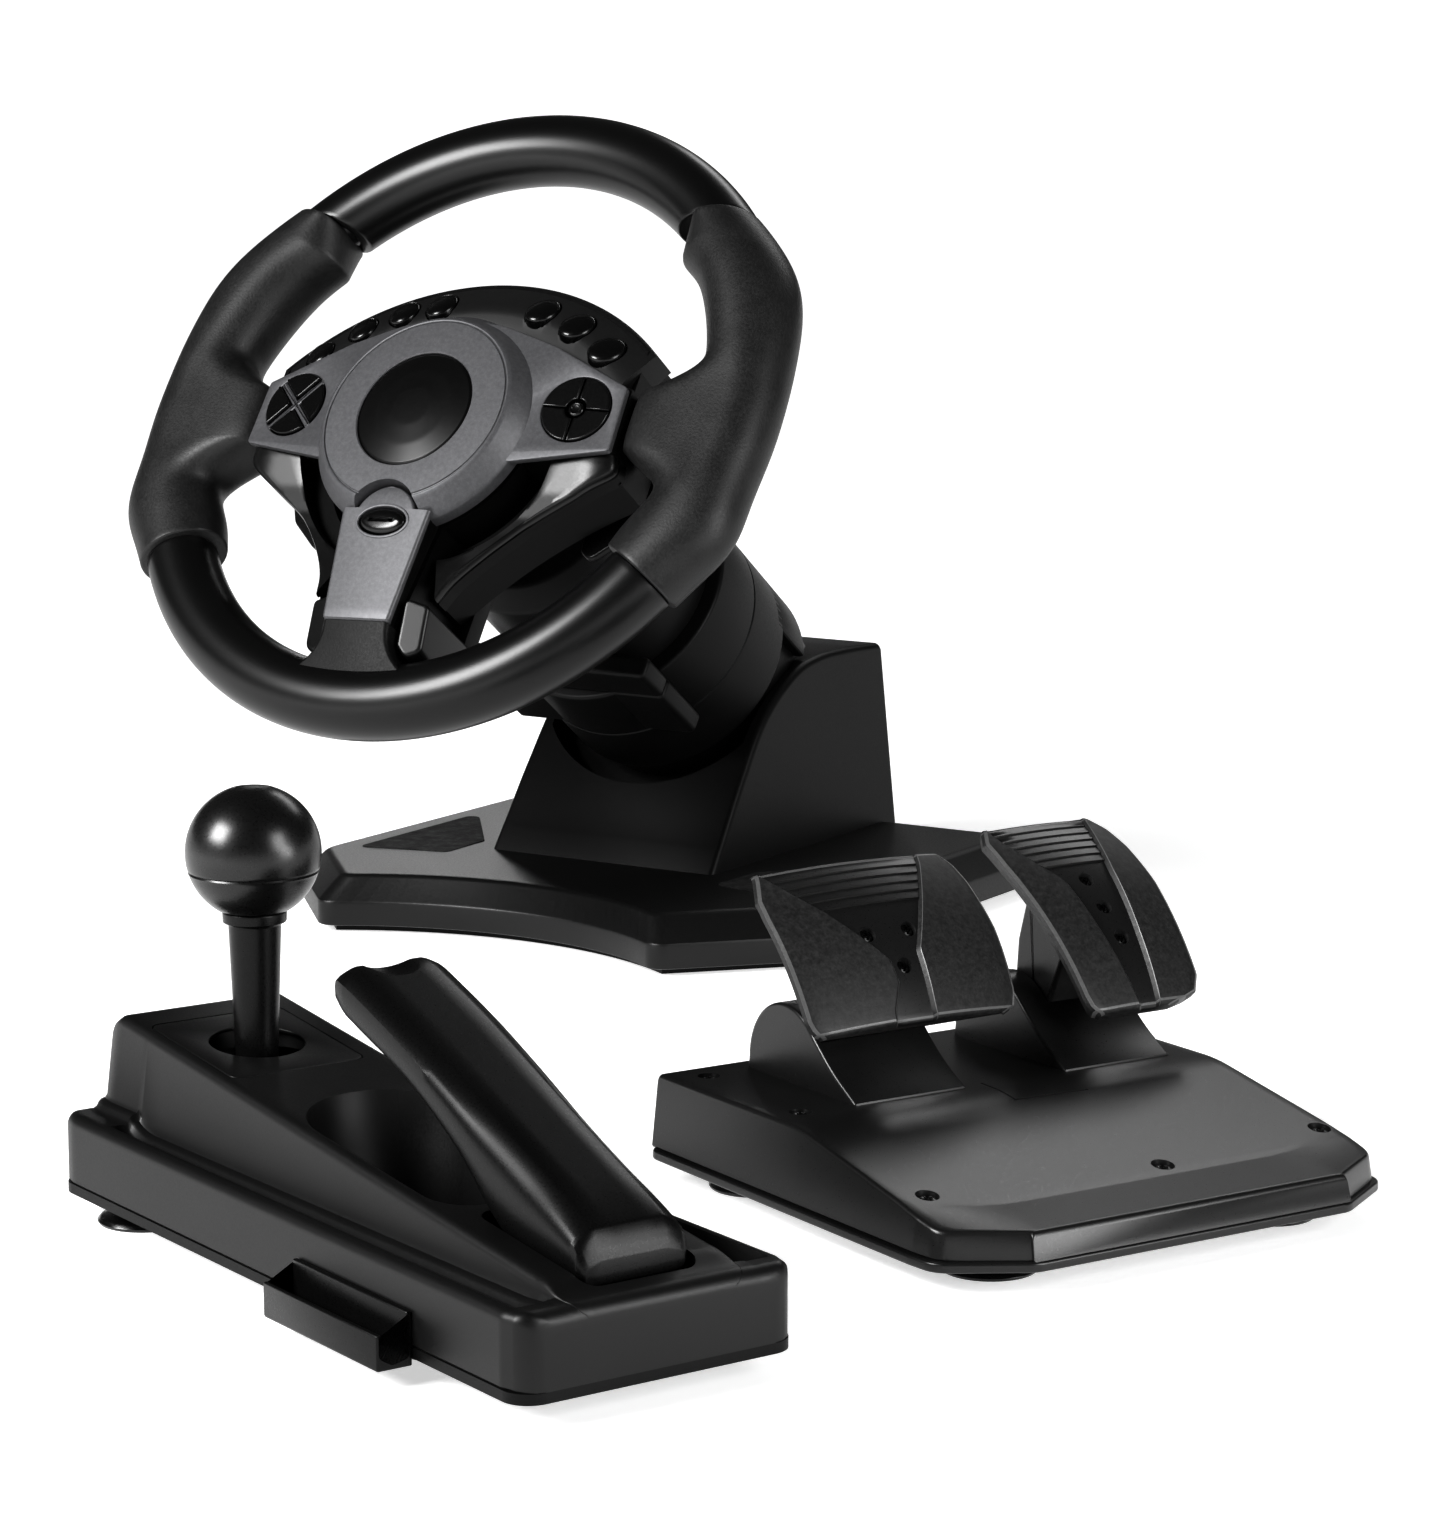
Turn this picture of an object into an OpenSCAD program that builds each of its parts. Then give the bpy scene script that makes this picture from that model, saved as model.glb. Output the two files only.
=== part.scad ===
// Gaming wheel set: a steering wheel on a desk base, a two-pedal floor unit and a gear and handbrake unit.
// Frame: X to the driver's right, Y away from the driver, Z up, in millimetres.
// The origin is the middle of the wheel base's underside. All three units stand on z = 0.

/* [Rim] */
// Outside diameter of the rim
rim_d = 270; // [262:1:280]
// Thickness of the rim tube
rim_tube = 27.4; // [25:0.2:29]
// Thickness of the ring inside the rim
core_d = 18; // [15:0.5:19]
// Rim centre, from the middle of the base
rim_y = -128; // [-131:0.5:-126]
// Height of the rim centre
rim_z = 208; // [206:0.5:212]
// Angle of the steering axis above level
wheel_rake = 36; // [35:0.5:37]
// Turn of the wheel as photographed, to the left
wheel_turn = 2; // [0:0.5:4]
// Upper end of each grip, degrees above level
grip_top = 44; // [42:1:46]
// Lower end of each grip, degrees below level
grip_low = 32; // [28:1:36]
// Half thickness of a grip between its swellings
grip_r = 16; // [15:0.1:17]

/* [Hub] */
// Half width of the face plate
wing_w = 81; // [79:0.5:83]
// Height of the back of the face plate over the rim plane
face_n = 11.5; // [10:0.5:13]
// Thickness of the face plate
face_t = 2.5; // [2:0.1:3]
// Centre of the hub cover below the rim centre
hub_drop = 11.5; // [10:0.5:13]
// Radius of the hub cover at its foot
cover_r = 46; // [44:0.5:48]
// Height of the hub cover
cover_h = 11; // [10:0.1:12]
// Radius of the badge
badge_r = 25; // [22:0.5:27]
// Lower end of the silver spoke below the rim centre
spoke_end = 96; // [95:0.5:97]
// Half width of the silver spoke at its lower end
spoke_w = 14.7; // [13.5:0.1:15.5]
// Radius of the upper edge of the button panel
panel_r = 113; // [112:0.5:118]
// Upper edge of the button panel over the rim centre
panel_top = 54; // [53.5:0.5:57]
// Middle of the upper edge, to the right of the rim centre
panel_off = 5; // [4:0.5:7]
// Thickness of the button panel
panel_t = 3; // [2.5:0.1:3.5]
// Depth of the hub shell behind the rim plane
shell_back = 18; // [17:0.5:19]
// Wall of the hub shell
hub_wall = 2.5; // [2:0.1:3]
// Depth of the back cover
back_d = 20; // [18:0.5:22]

/* [Keys] */
// Radius of a panel key
key_r = 5; // [4.6:0.1:5.1]
// How far a key can be pressed
key_travel = 1.2; // [0.8:0.1:1.4]
// Height of a key over the surface around it
key_proud = 2.6; // [2:0.1:3]
// Radius of the hole for the direction keys
pad_r = 13.8; // [12.5:0.1:14]
// Centre of the direction keys and of the menu keys, from the middle
pad_x = 63; // [62:0.5:64]
// Centre of the start key below the rim centre
start_drop = 57; // [56:0.5:58]
// Gap round each key
key_gap = 0.4; // [0.3:0.05:0.5]

/* [Steering head] */
// Radius of the steering shaft
shaft_r = 8; // [7:0.1:8.5]
// Radius of the barrel of the head
head_r = 50; // [49:0.25:50.5]
// Front of the head behind the rim plane
head_front_n = 62; // [58:0.5:66]
// Joint between the two halves of the head
head_mid_n = 128; // [124:1:132]
// Rear of the barrel
head_back_n = 186; // [183:1:187]
// Length of the rear cap
head_cap = 48; // [44:0.5:50]

/* [Base] */
// Width of the base
base_w = 244; // [240:1:256]
// Depth of the base from its front corners
base_d = 231; // [228:1:240]
// Height of the base
base_h = 23; // [22:0.5:26]
// Width of the base between its front corners
base_nose = 156; // [150:1:166]
// How far the front edge curves in
base_bow = 24; // [20:1:28]
// Wall of the base and of the column
base_wall = 3; // [2.5:0.1:3.5]
// Thickness of the floor plates
floor_t = 3; // [2.5:0.1:3.5]
// Width of the column at its foot
col_w = 108; // [107:0.5:112]
// Depth of the column at its foot
col_d = 152; // [150:1:156]
// Height of the column's top
col_z = 100; // [98:0.5:104]

/* [Pedal unit] */
// Middle of the pedal unit's front edge, to the right of the base's middle
pedal_x = 414; // [410:1:440]
// Middle of the pedal unit's front edge, behind the base's middle
pedal_y = -350; // [-380:1:-346]
// Turn of the unit
pedal_turn = 64.5; // [60:0.5:68]
// Width of the pedal unit
pedal_w = 166; // [164:1:176]
// Depth of the pedal unit
pedal_d = 165; // [164:1:172]
// Height of the rear deck
deck_z = 33; // [32:0.5:35]
// Height of the front lip
lip_z = 16; // [15:0.5:18]
// Wall of the pedal and shifter shells
shell_t = 2.5; // [2:0.1:3]
// Gap under the floors, filled by the suction cups
foot_h = 7; // [6:0.5:8]
// Width of a pedal dome
dome_w = 41; // [39:0.5:43]
// Radius of a pedal dome
dome_r = 20; // [19:0.25:21]
// Pivot of the pedals in front of the rear edge
pivot_back = 31; // [29:0.5:33]
// Height of the pivot of the pedals
pivot_z = 32; // [31:0.25:33]
// Radius of a pivot pin
pin_r = 3; // [2.5:0.1:3.2]
// Width of a pedal arm
arm_w = 20; // [18:0.5:22]
// Width of the brake pad
brake_w = 76; // [72:0.5:78]
// Length of the brake pad
brake_l = 55; // [52:0.5:58]
// Width of the gas pad
gas_w = 46; // [44:0.5:50]
// Length of the gas pad
gas_l = 74; // [70:0.5:78]
// Thickness of a pedal pad
pad_t = 5; // [4.5:0.1:6]

/* [Shifter unit] */
// Middle of the shifter unit's front edge, to the right of the base's middle
shift_x = 351; // [345:1:354]
// Middle of the shifter unit's front edge, behind the base's middle
shift_y = -537; // [-560:1:-534]
// Turn of the unit
shift_turn = 67; // [64:0.5:70]
// Width of the shifter unit
shift_w = 88; // [87:0.5:92]
// Length of the shifter unit
shift_l = 257; // [255:1:262]
// Height of the low sides
side_z = 31; // [30:0.5:33]
// Height of the ridge at the front
ridge_front_z = 35; // [34:0.5:36]
// Height of the ridge at the back
ridge_back_z = 60; // [58:0.5:62]
// Width of the ridge
ridge_w = 56; // [54:0.5:58]
// Radius of the cup recess
cup_r = 26; // [24:0.25:26.5]
// Centre of the cup recess behind the front edge
cup_y = 132; // [130:0.5:134]
// Depth of the cup floor over the table
cup_z = 15; // [13:0.5:18]
// Gear stick behind the front edge
stick_y = 208; // [207:0.5:210]
// Height of the pivot of the gear stick
stick_z = 27; // [26:0.5:28]
// Height of the middle of the knob
knob_z = 113; // [108:1:120]
// Radius of the knob
knob_r = 20; // [19:0.5:22]
// Radius of the hole in the gate plate
gate_r = 14; // [13.5:0.25:15]
// Width of the handbrake lever
lever_w = 35; // [33:0.5:36]
// Pivot of the handbrake lever behind the front edge
lever_y = 34; // [33:0.5:35]
// Height of the pivot of the handbrake lever
lever_z = 26; // [25:0.5:27]

/* [Hidden] */
$fn = 64;
fit = 0.2;
run = 0.05;
rim_r = (rim_d - rim_tube) / 2;
tube_r = rim_tube / 2;
core_r = core_d / 2;
seam_tilt = 30;
// hub levels along the steering axis
face_front = face_n + face_t;
panel_back = face_n - panel_t;
hub_v = -hub_drop;
web_n = -6;
board_n = 0;
board_t = 1.6;
well_n = -shell_back + hub_wall;
back_n = -shell_back - back_d;
// outline points of the face plate
wing_top = 25;
wing_out_top = 7;
wing_out_low = -19;
wing_low = -25;
spoke_top_w = 20;
spoke_top = -50;
seam_v = -78;
cheek_w = 24;
cheek_in = spoke_w + 3.2;
// front of the lower spoke: a sloping plane
spoke_low_n = face_n + 5.5;
spoke_slope = 9.5;
// web edge: circle through the wing's lower corner and the foot of the seam
web_a = [wing_w, wing_out_low - 7];
web_b = [cheek_w - 4, seam_v];
web_r = 180;
web_h = norm(web_a - web_b) / 2;
web_u = (web_a - web_b) / (2 * web_h);
web_c = (web_a + web_b) / 2 + sqrt(web_r * web_r - web_h * web_h) * [web_u[1], -web_u[0]];
// keys in the panel, right half, and one more on the left
right_keys = [[31.5, 39.5], [49, 33], [65.5, 22.5]];
left_keys = [[-15, 42], [-31.5, 39], [-48.2, 32], [-64, 20.8]];
flange_t = 2.2;
panel_flange = panel_back - 0.4 - flange_t;
face_flange = face_n - 0.4 - flange_t;
start_top = spoke_low_n + (spoke_end - start_drop) * tan(spoke_slope) + 1.4;
// paddles
paddle_x = 50;
paddle_n = -shell_back - 6;
paddle_t = 3.5;
// head
bush_r = shaft_r + 5;
shaft_end = head_back_n + 26;
ring_r = head_r - 4.5;
hood = 21;
tray_w = 42;
tray_v = 46;
// base
base_back = base_d / 2;
base_front = -base_d / 2;
band_z = 13;
col_back = 117;
col_front = col_back - col_d;
cradle_r = head_r + 8;
cup_h = 8;
base_cups = [[-60, -68], [60, -68], [-96, 84], [96, 84]];
base_posts = [[-96, -20], [96, -20], [-40, 90], [40, 90]];
// pedal unit
pedal_half = pedal_w / 2;
pivot_y = pedal_d - pivot_back;
slope_end = pedal_d - 77;
brake_x = -pedal_half + 52;
gas_x = pedal_half - 35;
brake_pad_x = brake_x;
gas_pad_x = gas_x + 6;
pedal_floor_z = foot_h + floor_t;
cup_front = pedal_half - 31;
cup_back = pedal_half - 23;
pedal_cups = [[-cup_front, 30], [cup_front, 30], [-cup_back, pedal_d - 25], [cup_back, pedal_d - 25]];
pedal_screws = [[-pedal_half + 15, pedal_d - 11], [-pedal_half + 14, pedal_d - 63], [-pedal_half + 17, 36],
  [14, 28], [pedal_half - 10, 31], [pedal_half - 12, pedal_d - 13]];
brake_lean = 40;
gas_lean = 48;
brake_c = [pivot_y - 21, 78];
gas_c = [pivot_y - 14, 80];
brake_drum = 140;
gas_drum = 160;
dome_top = deck_z + 4 + dome_r;
// shifter unit
shift_floor_z = foot_h + floor_t;
shift_cups = [[-20, 74], [20, 74], [-28, 232], [26, 228]];
stick_x = -2.5;
slope = (ridge_back_z - ridge_front_z) / (shift_l - 12);
slope_a = atan(slope);
gate_w = 44;
gate_l = 52;
gate_t = 1.2;
ridge_y = 0;
gate_z = ridge_front_z + slope * stick_y;

module in_head() {
  translate([0, rim_y, rim_z]) rotate([90 - wheel_rake, 0, 0]) children();
}

module in_wheel() {
  in_head() rotate([0, 0, wheel_turn]) children();
}

module in_pedals() {
  translate([pedal_x, pedal_y, 0]) rotate([0, 0, pedal_turn]) children();
}

module in_shifter() {
  translate([shift_x, shift_y, 0]) rotate([0, 0, shift_turn]) children();
}

// A slab between two heights.
module slab(z0, z1) {
  translate([0, 0, z0]) linear_extrude(height = z1 - z0) children();
}

// A bar along X between two places, from an outline drawn in Y and Z.
module across(x0, x1) {
  translate([x0, 0, 0]) rotate([90, 0, 90]) linear_extrude(height = x1 - x0) children();
}

// A rod along X at a place in Y and Z.
module rod_x(x0, x1, y, z, r) {
  translate([x0, y, z]) rotate([0, 90, 0]) cylinder(r = r, h = x1 - x0);
}

// A tube on a steering-axis circle, between two angles.
module rim_arc(r, a0, a1) {
  rotate([0, 0, a0]) rotate_extrude(angle = a1 - a0, $fn = 96) translate([rim_r, 0]) circle(r = r, $fn = 48);
}

module rounded(w, d, r) {
  translate([-w / 2 + r, 0]) square([w - 2 * r, d]);
  translate([-w / 2, r]) square([w, d - 2 * r]);
  for (x = [-w / 2 + r, w / 2 - r])
    for (y = [r, d - r])
      translate([x, y]) circle(r = r);
}

// Wheel outlines, seen by the driver

module wing_2d(e) {
  w = wing_w + e;
  polygon([[-w, wing_out_top + e], [-38, wing_top + e], [38, wing_top + e], [w, wing_out_top + e],
    [w, wing_out_low - e], [42, wing_low - e], [-42, wing_low - e], [-w, wing_out_low - e]]);
}

module spoke_2d(e) {
  polygon([[-spoke_top_w - e, hub_v], [spoke_top_w + e, hub_v], [spoke_top_w + e, spoke_top],
    [spoke_w + e, -spoke_end - e], [-spoke_w - e, -spoke_end - e], [-spoke_top_w - e, spoke_top]]);
}

module face_2d(e) {
  wing_2d(e);
  spoke_2d(e);
  translate([0, hub_v]) circle(r = cover_r + e);
}

module crescent_2d(e) {
  intersection() {
    translate([panel_off, panel_top - panel_r]) circle(r = panel_r + e, $fn = 96);
    translate([-wing_w + 1 - e, 0]) square([2 * (wing_w - 1 + e), 90]);
  }
}

module web_2d(e) {
  for (s = [0, 1])
    mirror([s, 0]) difference() {
      polygon([[0, hub_v], [web_a[0], hub_v], web_a, web_b, [0, seam_v]]);
      translate(web_c) circle(r = web_r + e, $fn = 128);
    }
}

module sector_2d(r, inset, turn) {
  intersection() {
    circle(r = r);
    rotate(turn) translate([inset * sqrt(2), 0]) rotate(-45) square(2 * r);
  }
}

module stadium_2d(w, h) {
  square([w - h, h], center = true);
  for (s = [-1, 1])
    translate([s * (w - h) / 2, 0]) circle(d = h);
}

// Places of the panel keys, from the middle outwards.
function key_place(side, i) = side > 0 ? right_keys[i - 1] : left_keys[i - 1];

// Rim

module side_tongue(e) {
  translate([wing_w - hub_wall + 0.3, -10 - e, -6 - e])
    cube([rim_r - wing_w + hub_wall, 16 + 2 * e, 12 + 2 * e]);
}

module low_tongue(e) {
  translate([-8 - e, -rim_r, -6 - e]) cube([16 + 2 * e, rim_r - spoke_end + hub_wall - 0.3, 11 + 2 * e]);
}

module rim_core() {
  color("DimGray") in_wheel() {
    rotate_extrude($fn = 96) translate([rim_r, 0]) circle(r = core_r, $fn = 48);
    side_tongue(0);
    mirror([1, 0, 0]) side_tongue(0);
    low_tongue(0);
  }
}

module rim_top_cap() {
  color("#1c1c1c") in_wheel() difference() {
    rim_arc(tube_r, grip_top - 12, 192 - grip_top);
    rim_arc(core_r + fit, grip_top - 13, 193 - grip_top);
    seam_block();
    mirror([1, 0, 0]) seam_block();
  }
}

module rim_bottom_cap() {
  color("#1c1c1c") in_wheel() difference() {
    rim_arc(tube_r, 180 + grip_low + 0.1, 360 - grip_low - 0.1);
    rim_arc(core_r + fit, 179 + grip_low, 361 - grip_low);
    low_tongue(fit);
  }
}

// Everything on the grip's side of the upper seam.
module seam_block() {
  translate([rim_r * cos(grip_top), rim_r * sin(grip_top), -40]) rotate([0, 0, grip_top - seam_tilt])
    translate([-60, -79.9, 0]) cube([120, 80, 80]);
}

function bump(a, c, w) = exp(-pow((a - c) / w, 2));
function spoke_k(a) = exp(-pow((a + 3) / 11, 4));
// turn of a station's plane towards the upper seam
function seam_w(a) = seam_tilt * pow(max(0, (a - 12) / (grip_top - 12)), 2);
function grip_out(a) = grip_r + 4 * bump(a, 25, 12) + 4.5 * bump(a, -20, 7);
function grip_in(a) =
  min(grip_r + 4.5 * bump(a, 40, 6) + 3 * bump(a, -27, 7) + 30 * spoke_k(a), rim_r - (wing_w + 0.1) / cos(a));
function grip_q(a) = grip_r + 1.2 * bump(a, 28, 14) - 1 * spoke_k(a);
function sgn_pow(x, e) = sign(x) * pow(abs(x), e);
function grip_pt(a, f) =
  let (c = cos(f), s = sin(f), e = 1 - 0.5 * spoke_k(a),
    p = c >= 0 ? grip_out(a) * c : grip_in(a) * sgn_pow(c, e),
    q = grip_q(a) * sgn_pow(s, c >= 0 ? 1 : e), t = a - seam_w(a))
  [rim_r * cos(a) + p * cos(t), rim_r * sin(a) + p * sin(t), q];
function bore_pt(a, f) =
  let (r = (core_r + fit) / cos(9), t = a - seam_w(a), p = r * cos(f) / cos(t - a))
  [rim_r * cos(a) + p * cos(t), rim_r * sin(a) + p * sin(t), r * sin(f)];

module grip() {
  m = 26;
  n = 20;
  step = (grip_top + grip_low) / m;
  pts = concat(
    [for (i = [0 : m]) for (j = [0 : n - 1]) grip_pt(-grip_low + i * step, j * 360 / n)],
    [for (i = [0 : m]) for (j = [0 : n - 1]) bore_pt(-grip_low + i * step, j * 360 / n)]);
  k = (m + 1) * n;
  faces = concat(
    [for (a = [0 : n : (m - 1) * n]) for (j = [0 : n - 1]) let (u = (j + 1) % n, b = a + n)
      [a + j, a + u, b + u]],
    [for (a = [0 : n : (m - 1) * n]) for (j = [0 : n - 1]) let (u = (j + 1) % n, b = a + n)
      [a + j, b + u, b + j]],
    [for (a = [k : n : k + (m - 1) * n]) for (j = [0 : n - 1]) let (u = (j + 1) % n, b = a + n)
      [a + j, b + u, a + u]],
    [for (a = [k : n : k + (m - 1) * n]) for (j = [0 : n - 1]) let (u = (j + 1) % n, b = a + n)
      [a + j, b + j, b + u]],
    [for (j = [0 : n - 1]) let (u = (j + 1) % n) [j, k + j, u]],
    [for (j = [0 : n - 1]) let (u = (j + 1) % n) [k + j, k + u, u]],
    [for (j = [0 : n - 1]) let (u = (j + 1) % n, a = m * n) [a + j, a + u, a + k + j]],
    [for (j = [0 : n - 1]) let (u = (j + 1) % n, a = m * n) [a + k + j, a + u, a + k + u]]);
  difference() {
    polyhedron(points = pts, faces = faces);
    translate([-1, 0, 0]) side_tongue(fit);
  }
}

module grip_right() {
  color("#3a3a3a") in_wheel() grip();
}

module grip_left() {
  color("#3a3a3a") in_wheel() mirror([1, 0, 0]) grip();
}

// Hub

module face_plate() {
  color("#77777a") in_wheel() {
    slab(face_n, face_front) difference() {
      face_2d(0);
      translate([-pad_x, -4.5]) circle(r = pad_r);
      translate([pad_x, -4.5]) circle(r = pad_r);
      translate([0, -start_drop]) stadium_2d(19 + 2 * key_gap, 10.5 + 2 * key_gap);
    }
    slab(face_n, face_front) translate([-pad_x, -4.5]) for (t = [45, 135])
      rotate(t) square([2 * pad_r + 0.6, 2.4], center = true);
    difference() {
      slab(face_n, 40) difference() {
        spoke_2d(0);
        translate([0, -start_drop]) stadium_2d(19 + 2 * key_gap, 10.5 + 2 * key_gap);
      }
      over_spoke(0);
      translate([-50, hub_v - cover_r + 16, face_front]) cube([100, 60, 40]);
    }
  }
}

// Everything in front of the sloping face of the lower spoke.
module over_spoke(e) {
  translate([0, -spoke_end, spoke_low_n + e]) rotate([spoke_slope, 0, 0]) translate([-100, -60, 0])
    cube([200, 160, 60]);
}

module hub_cover() {
  b = face_front;
  color("#707073") in_wheel() difference() {
    translate([0, hub_v, 0]) rotate_extrude($fn = 96) polygon([[0, b], [cover_r, b], [cover_r, b + 2],
      [cover_r - 2.5, b + cover_h - 2.6], [cover_r - 5, b + cover_h - 0.8], [badge_r + 2.5, b + cover_h],
      [badge_r + fit, b + cover_h], [badge_r + fit, b + cover_h - 2.8], [0, b + cover_h - 2.8]]);
    translate([0, -start_drop, 0]) cylinder(r = 13.5, h = 60);
    slab(0, 60) intersection() {
      spoke_2d(0.1);
      translate([-50, -100]) square([100, hub_v - cover_r + 116]);
    }
  }
}

module hub_badge() {
  b = face_front + cover_h - 2.8;
  color("#111111") in_wheel() translate([0, hub_v, 0]) rotate_extrude($fn = 96)
    polygon([[0, b], [badge_r, b], [badge_r, b + 2.2], [badge_r - 1.5, b + 3.2], [0, b + 3.8]]);
}

module paddle_lugs() {
  for (v = [-21, 13])
    difference() {
      translate([paddle_x - 4, v, paddle_n - 4]) cube([8, 4, -shell_back - paddle_n + 4]);
      translate([paddle_x, v - 1, paddle_n]) rotate([-90, 0, 0]) cylinder(r = 2.5 + run, h = 6);
    }
}

module hub_shell() {
  color("#161616") in_wheel() {
    difference() {
      union() {
        slab(-shell_back, face_n) face_2d(0);
        slab(-shell_back, panel_back) crescent_2d(0);
        slab(-shell_back, 0) web_2d(0);
      }
      difference() {
        slab(web_n, 1) translate([0, hub_v]) circle(r = cover_r + 4);
        slab(web_n - 1, 2) {
          face_2d(0);
          crescent_2d(0);
        }
      }
      slab(well_n, face_n + 1) {
        face_2d(-hub_wall);
        crescent_2d(-hub_wall + 0.9);
      }
      translate([0, 0, -60]) cylinder(r = shaft_r + run, h = 60);
      side_tongue(fit);
      mirror([1, 0, 0]) side_tongue(fit);
      low_tongue(fit);
    }
    translate([pad_x, -4.5, well_n - 0.5]) cylinder(r = 2.6, h = face_front + 1 - well_n);
    for (x = [-34, 34])
      for (v = [-28, 10])
        translate([x, v, well_n - 0.5]) cylinder(r = 3, h = board_n - board_t - well_n + 0.5);
    paddle_lugs();
    mirror([1, 0, 0]) paddle_lugs();
  }
}

module hub_back() {
  t = -shell_back;
  color("#1a1a1a") in_wheel() difference() {
    union() {
      translate([0, hub_v, 0]) rotate_extrude($fn = 96)
        polygon([[0, t], [42, t], [42, t - 8], [34, back_n], [0, back_n]]);
      slab(t - 12, t) intersection() {
        web_2d(6);
        translate([-43, seam_v]) square([86, 80]);
      }
      slab(t - 9, t) translate([-cheek_w, -104]) square([2 * cheek_w, 60]);
      for (s = [-1, 1])
        slab(t - 9, face_n - 5) translate([s > 0 ? cheek_in : -cheek_w, -104])
          square([cheek_w - cheek_in, seam_v + 103.5]);
    }
    translate([0, 0, -80]) cylinder(r = shaft_r + run, h = 90);
  }
}

module button_panel() {
  color("#202020") in_wheel() slab(panel_back, face_n) difference() {
    crescent_2d(0);
    wing_2d(fit);
    translate([0, hub_v]) circle(r = cover_r + fit);
    for (i = [1 : 3])
      translate(key_place(1, i)) circle(r = key_r + key_gap);
    for (i = [1 : 4])
      translate(key_place(-1, i)) circle(r = key_r + key_gap);
  }
}

module spoke_foot() {
  color("#333333") in_wheel() difference() {
    slab(-6, face_n + 6) polygon([[-spoke_w, -spoke_end], [spoke_w, -spoke_end], [cheek_in - 0.5, -104],
      [cheek_in + 8, -rim_r + 8], [-cheek_in - 8, -rim_r + 8], [-cheek_in + 0.5, -104]]);
    over_spoke(-0.6);
    rim_arc(tube_r + 0.1, 240, 300);
    low_tongue(fit);
  }
}

module wheel_board() {
  e = -hub_wall - 0.6;
  color("DarkGreen") in_wheel() {
    slab(board_n - board_t, board_n) difference() {
      intersection() {
        union() {
          face_2d(e);
          crescent_2d(e);
        }
        translate([-76, -70]) square([152, 140]);
      }
      translate([pad_x, -4.5]) circle(r = 3.4);
      circle(r = 16);
    }
    slab(board_n, panel_flange - key_travel - 0.3) {
      for (i = [1 : 3])
        translate(key_place(1, i)) circle(r = 2.5);
      for (i = [1 : 4])
        translate(key_place(-1, i)) circle(r = 2.5);
    }
    slab(board_n, face_flange - key_travel - 0.3) {
      translate([0, -start_drop]) circle(r = 2.5);
      for (s = [-1, 1])
        for (t = [0 : 90 : 270])
          translate([s * pad_x, -4.5]) rotate(t) translate([8.5, 0]) circle(r = 2.2);
    }
  }
}

module steering_shaft() {
  color("Silver") in_wheel() {
    translate([0, 0, -shaft_end]) cylinder(r = shaft_r, h = shaft_end + well_n + 0.5);
    translate([0, 0, well_n]) cylinder(r = 14, h = 4);
  }
}

// Keys

module panel_key(side, i) {
  p = key_place(side, i);
  color("#0c0c0c") in_wheel() translate([p[0], p[1], 0]) rotate_extrude()
    polygon([[0, panel_flange], [key_r + 0.9, panel_flange], [key_r + 0.9, panel_flange + flange_t],
      [key_r, panel_flange + flange_t], [key_r, face_n + key_proud - 1],
      [key_r - 1.2, face_n + key_proud - 0.2], [0, face_n + key_proud]]);
}

module dpad_key(turn) {
  color("#0c0c0c") in_wheel() translate([-pad_x, -4.5, 0]) {
    slab(face_flange, face_front + key_proud - 1.2) sector_2d(pad_r - key_gap, 1.2 + key_gap, turn);
    slab(face_flange, face_flange + flange_t) sector_2d(pad_r + 0.4, 0.5, turn);
  }
}

module menu_key(turn) {
  color("#181818") in_wheel() translate([pad_x, -4.5, 0]) difference() {
    union() {
      slab(face_flange, face_front + key_proud - 1.6) sector_2d(pad_r - key_gap, 0.4, turn);
      slab(face_flange, face_flange + flange_t) sector_2d(pad_r + 0.4, 0.4, turn);
    }
    cylinder(r = 2.6 + key_gap, h = 40);
  }
}

module start_key() {
  color("#0c0c0c") in_wheel() translate([0, -start_drop, 0]) {
    slab(face_flange, start_top) stadium_2d(19, 10.5);
    slab(face_flange, face_flange + flange_t) stadium_2d(21.4, 12.9);
  }
}

module dpad_up() dpad_key(90);
module dpad_right() dpad_key(0);
module dpad_down() dpad_key(270);
module dpad_left() dpad_key(180);
module menu_top() menu_key(90);
module menu_right() menu_key(0);
module menu_bottom() menu_key(270);
module menu_left() menu_key(180);
module key_left_1() panel_key(-1, 1);
module key_left_2() panel_key(-1, 2);
module key_left_3() panel_key(-1, 3);
module key_left_4() panel_key(-1, 4);
module key_right_1() panel_key(1, 1);
module key_right_2() panel_key(1, 2);
module key_right_3() panel_key(1, 3);

module paddle() {
  slab(paddle_n - paddle_t / 2, paddle_n + paddle_t / 2)
    polygon([[paddle_x, 12.6], [84, 8], [86, -12], [76, -34], [62, -46], [57, -42], [paddle_x + 5.2, -16.6],
      [paddle_x, -16.6]]);
  translate([paddle_x, -16.6, paddle_n]) rotate([-90, 0, 0]) cylinder(r = 3.8, h = 29.2);
  translate([paddle_x, -20.8, paddle_n]) rotate([-90, 0, 0]) cylinder(r = 2.5, h = 37.6);
}

module paddle_right() {
  color("#151515") in_wheel() paddle();
}

module paddle_left() {
  color("#151515") in_wheel() mirror([1, 0, 0]) paddle();
}

// Head on the steering axis

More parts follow.
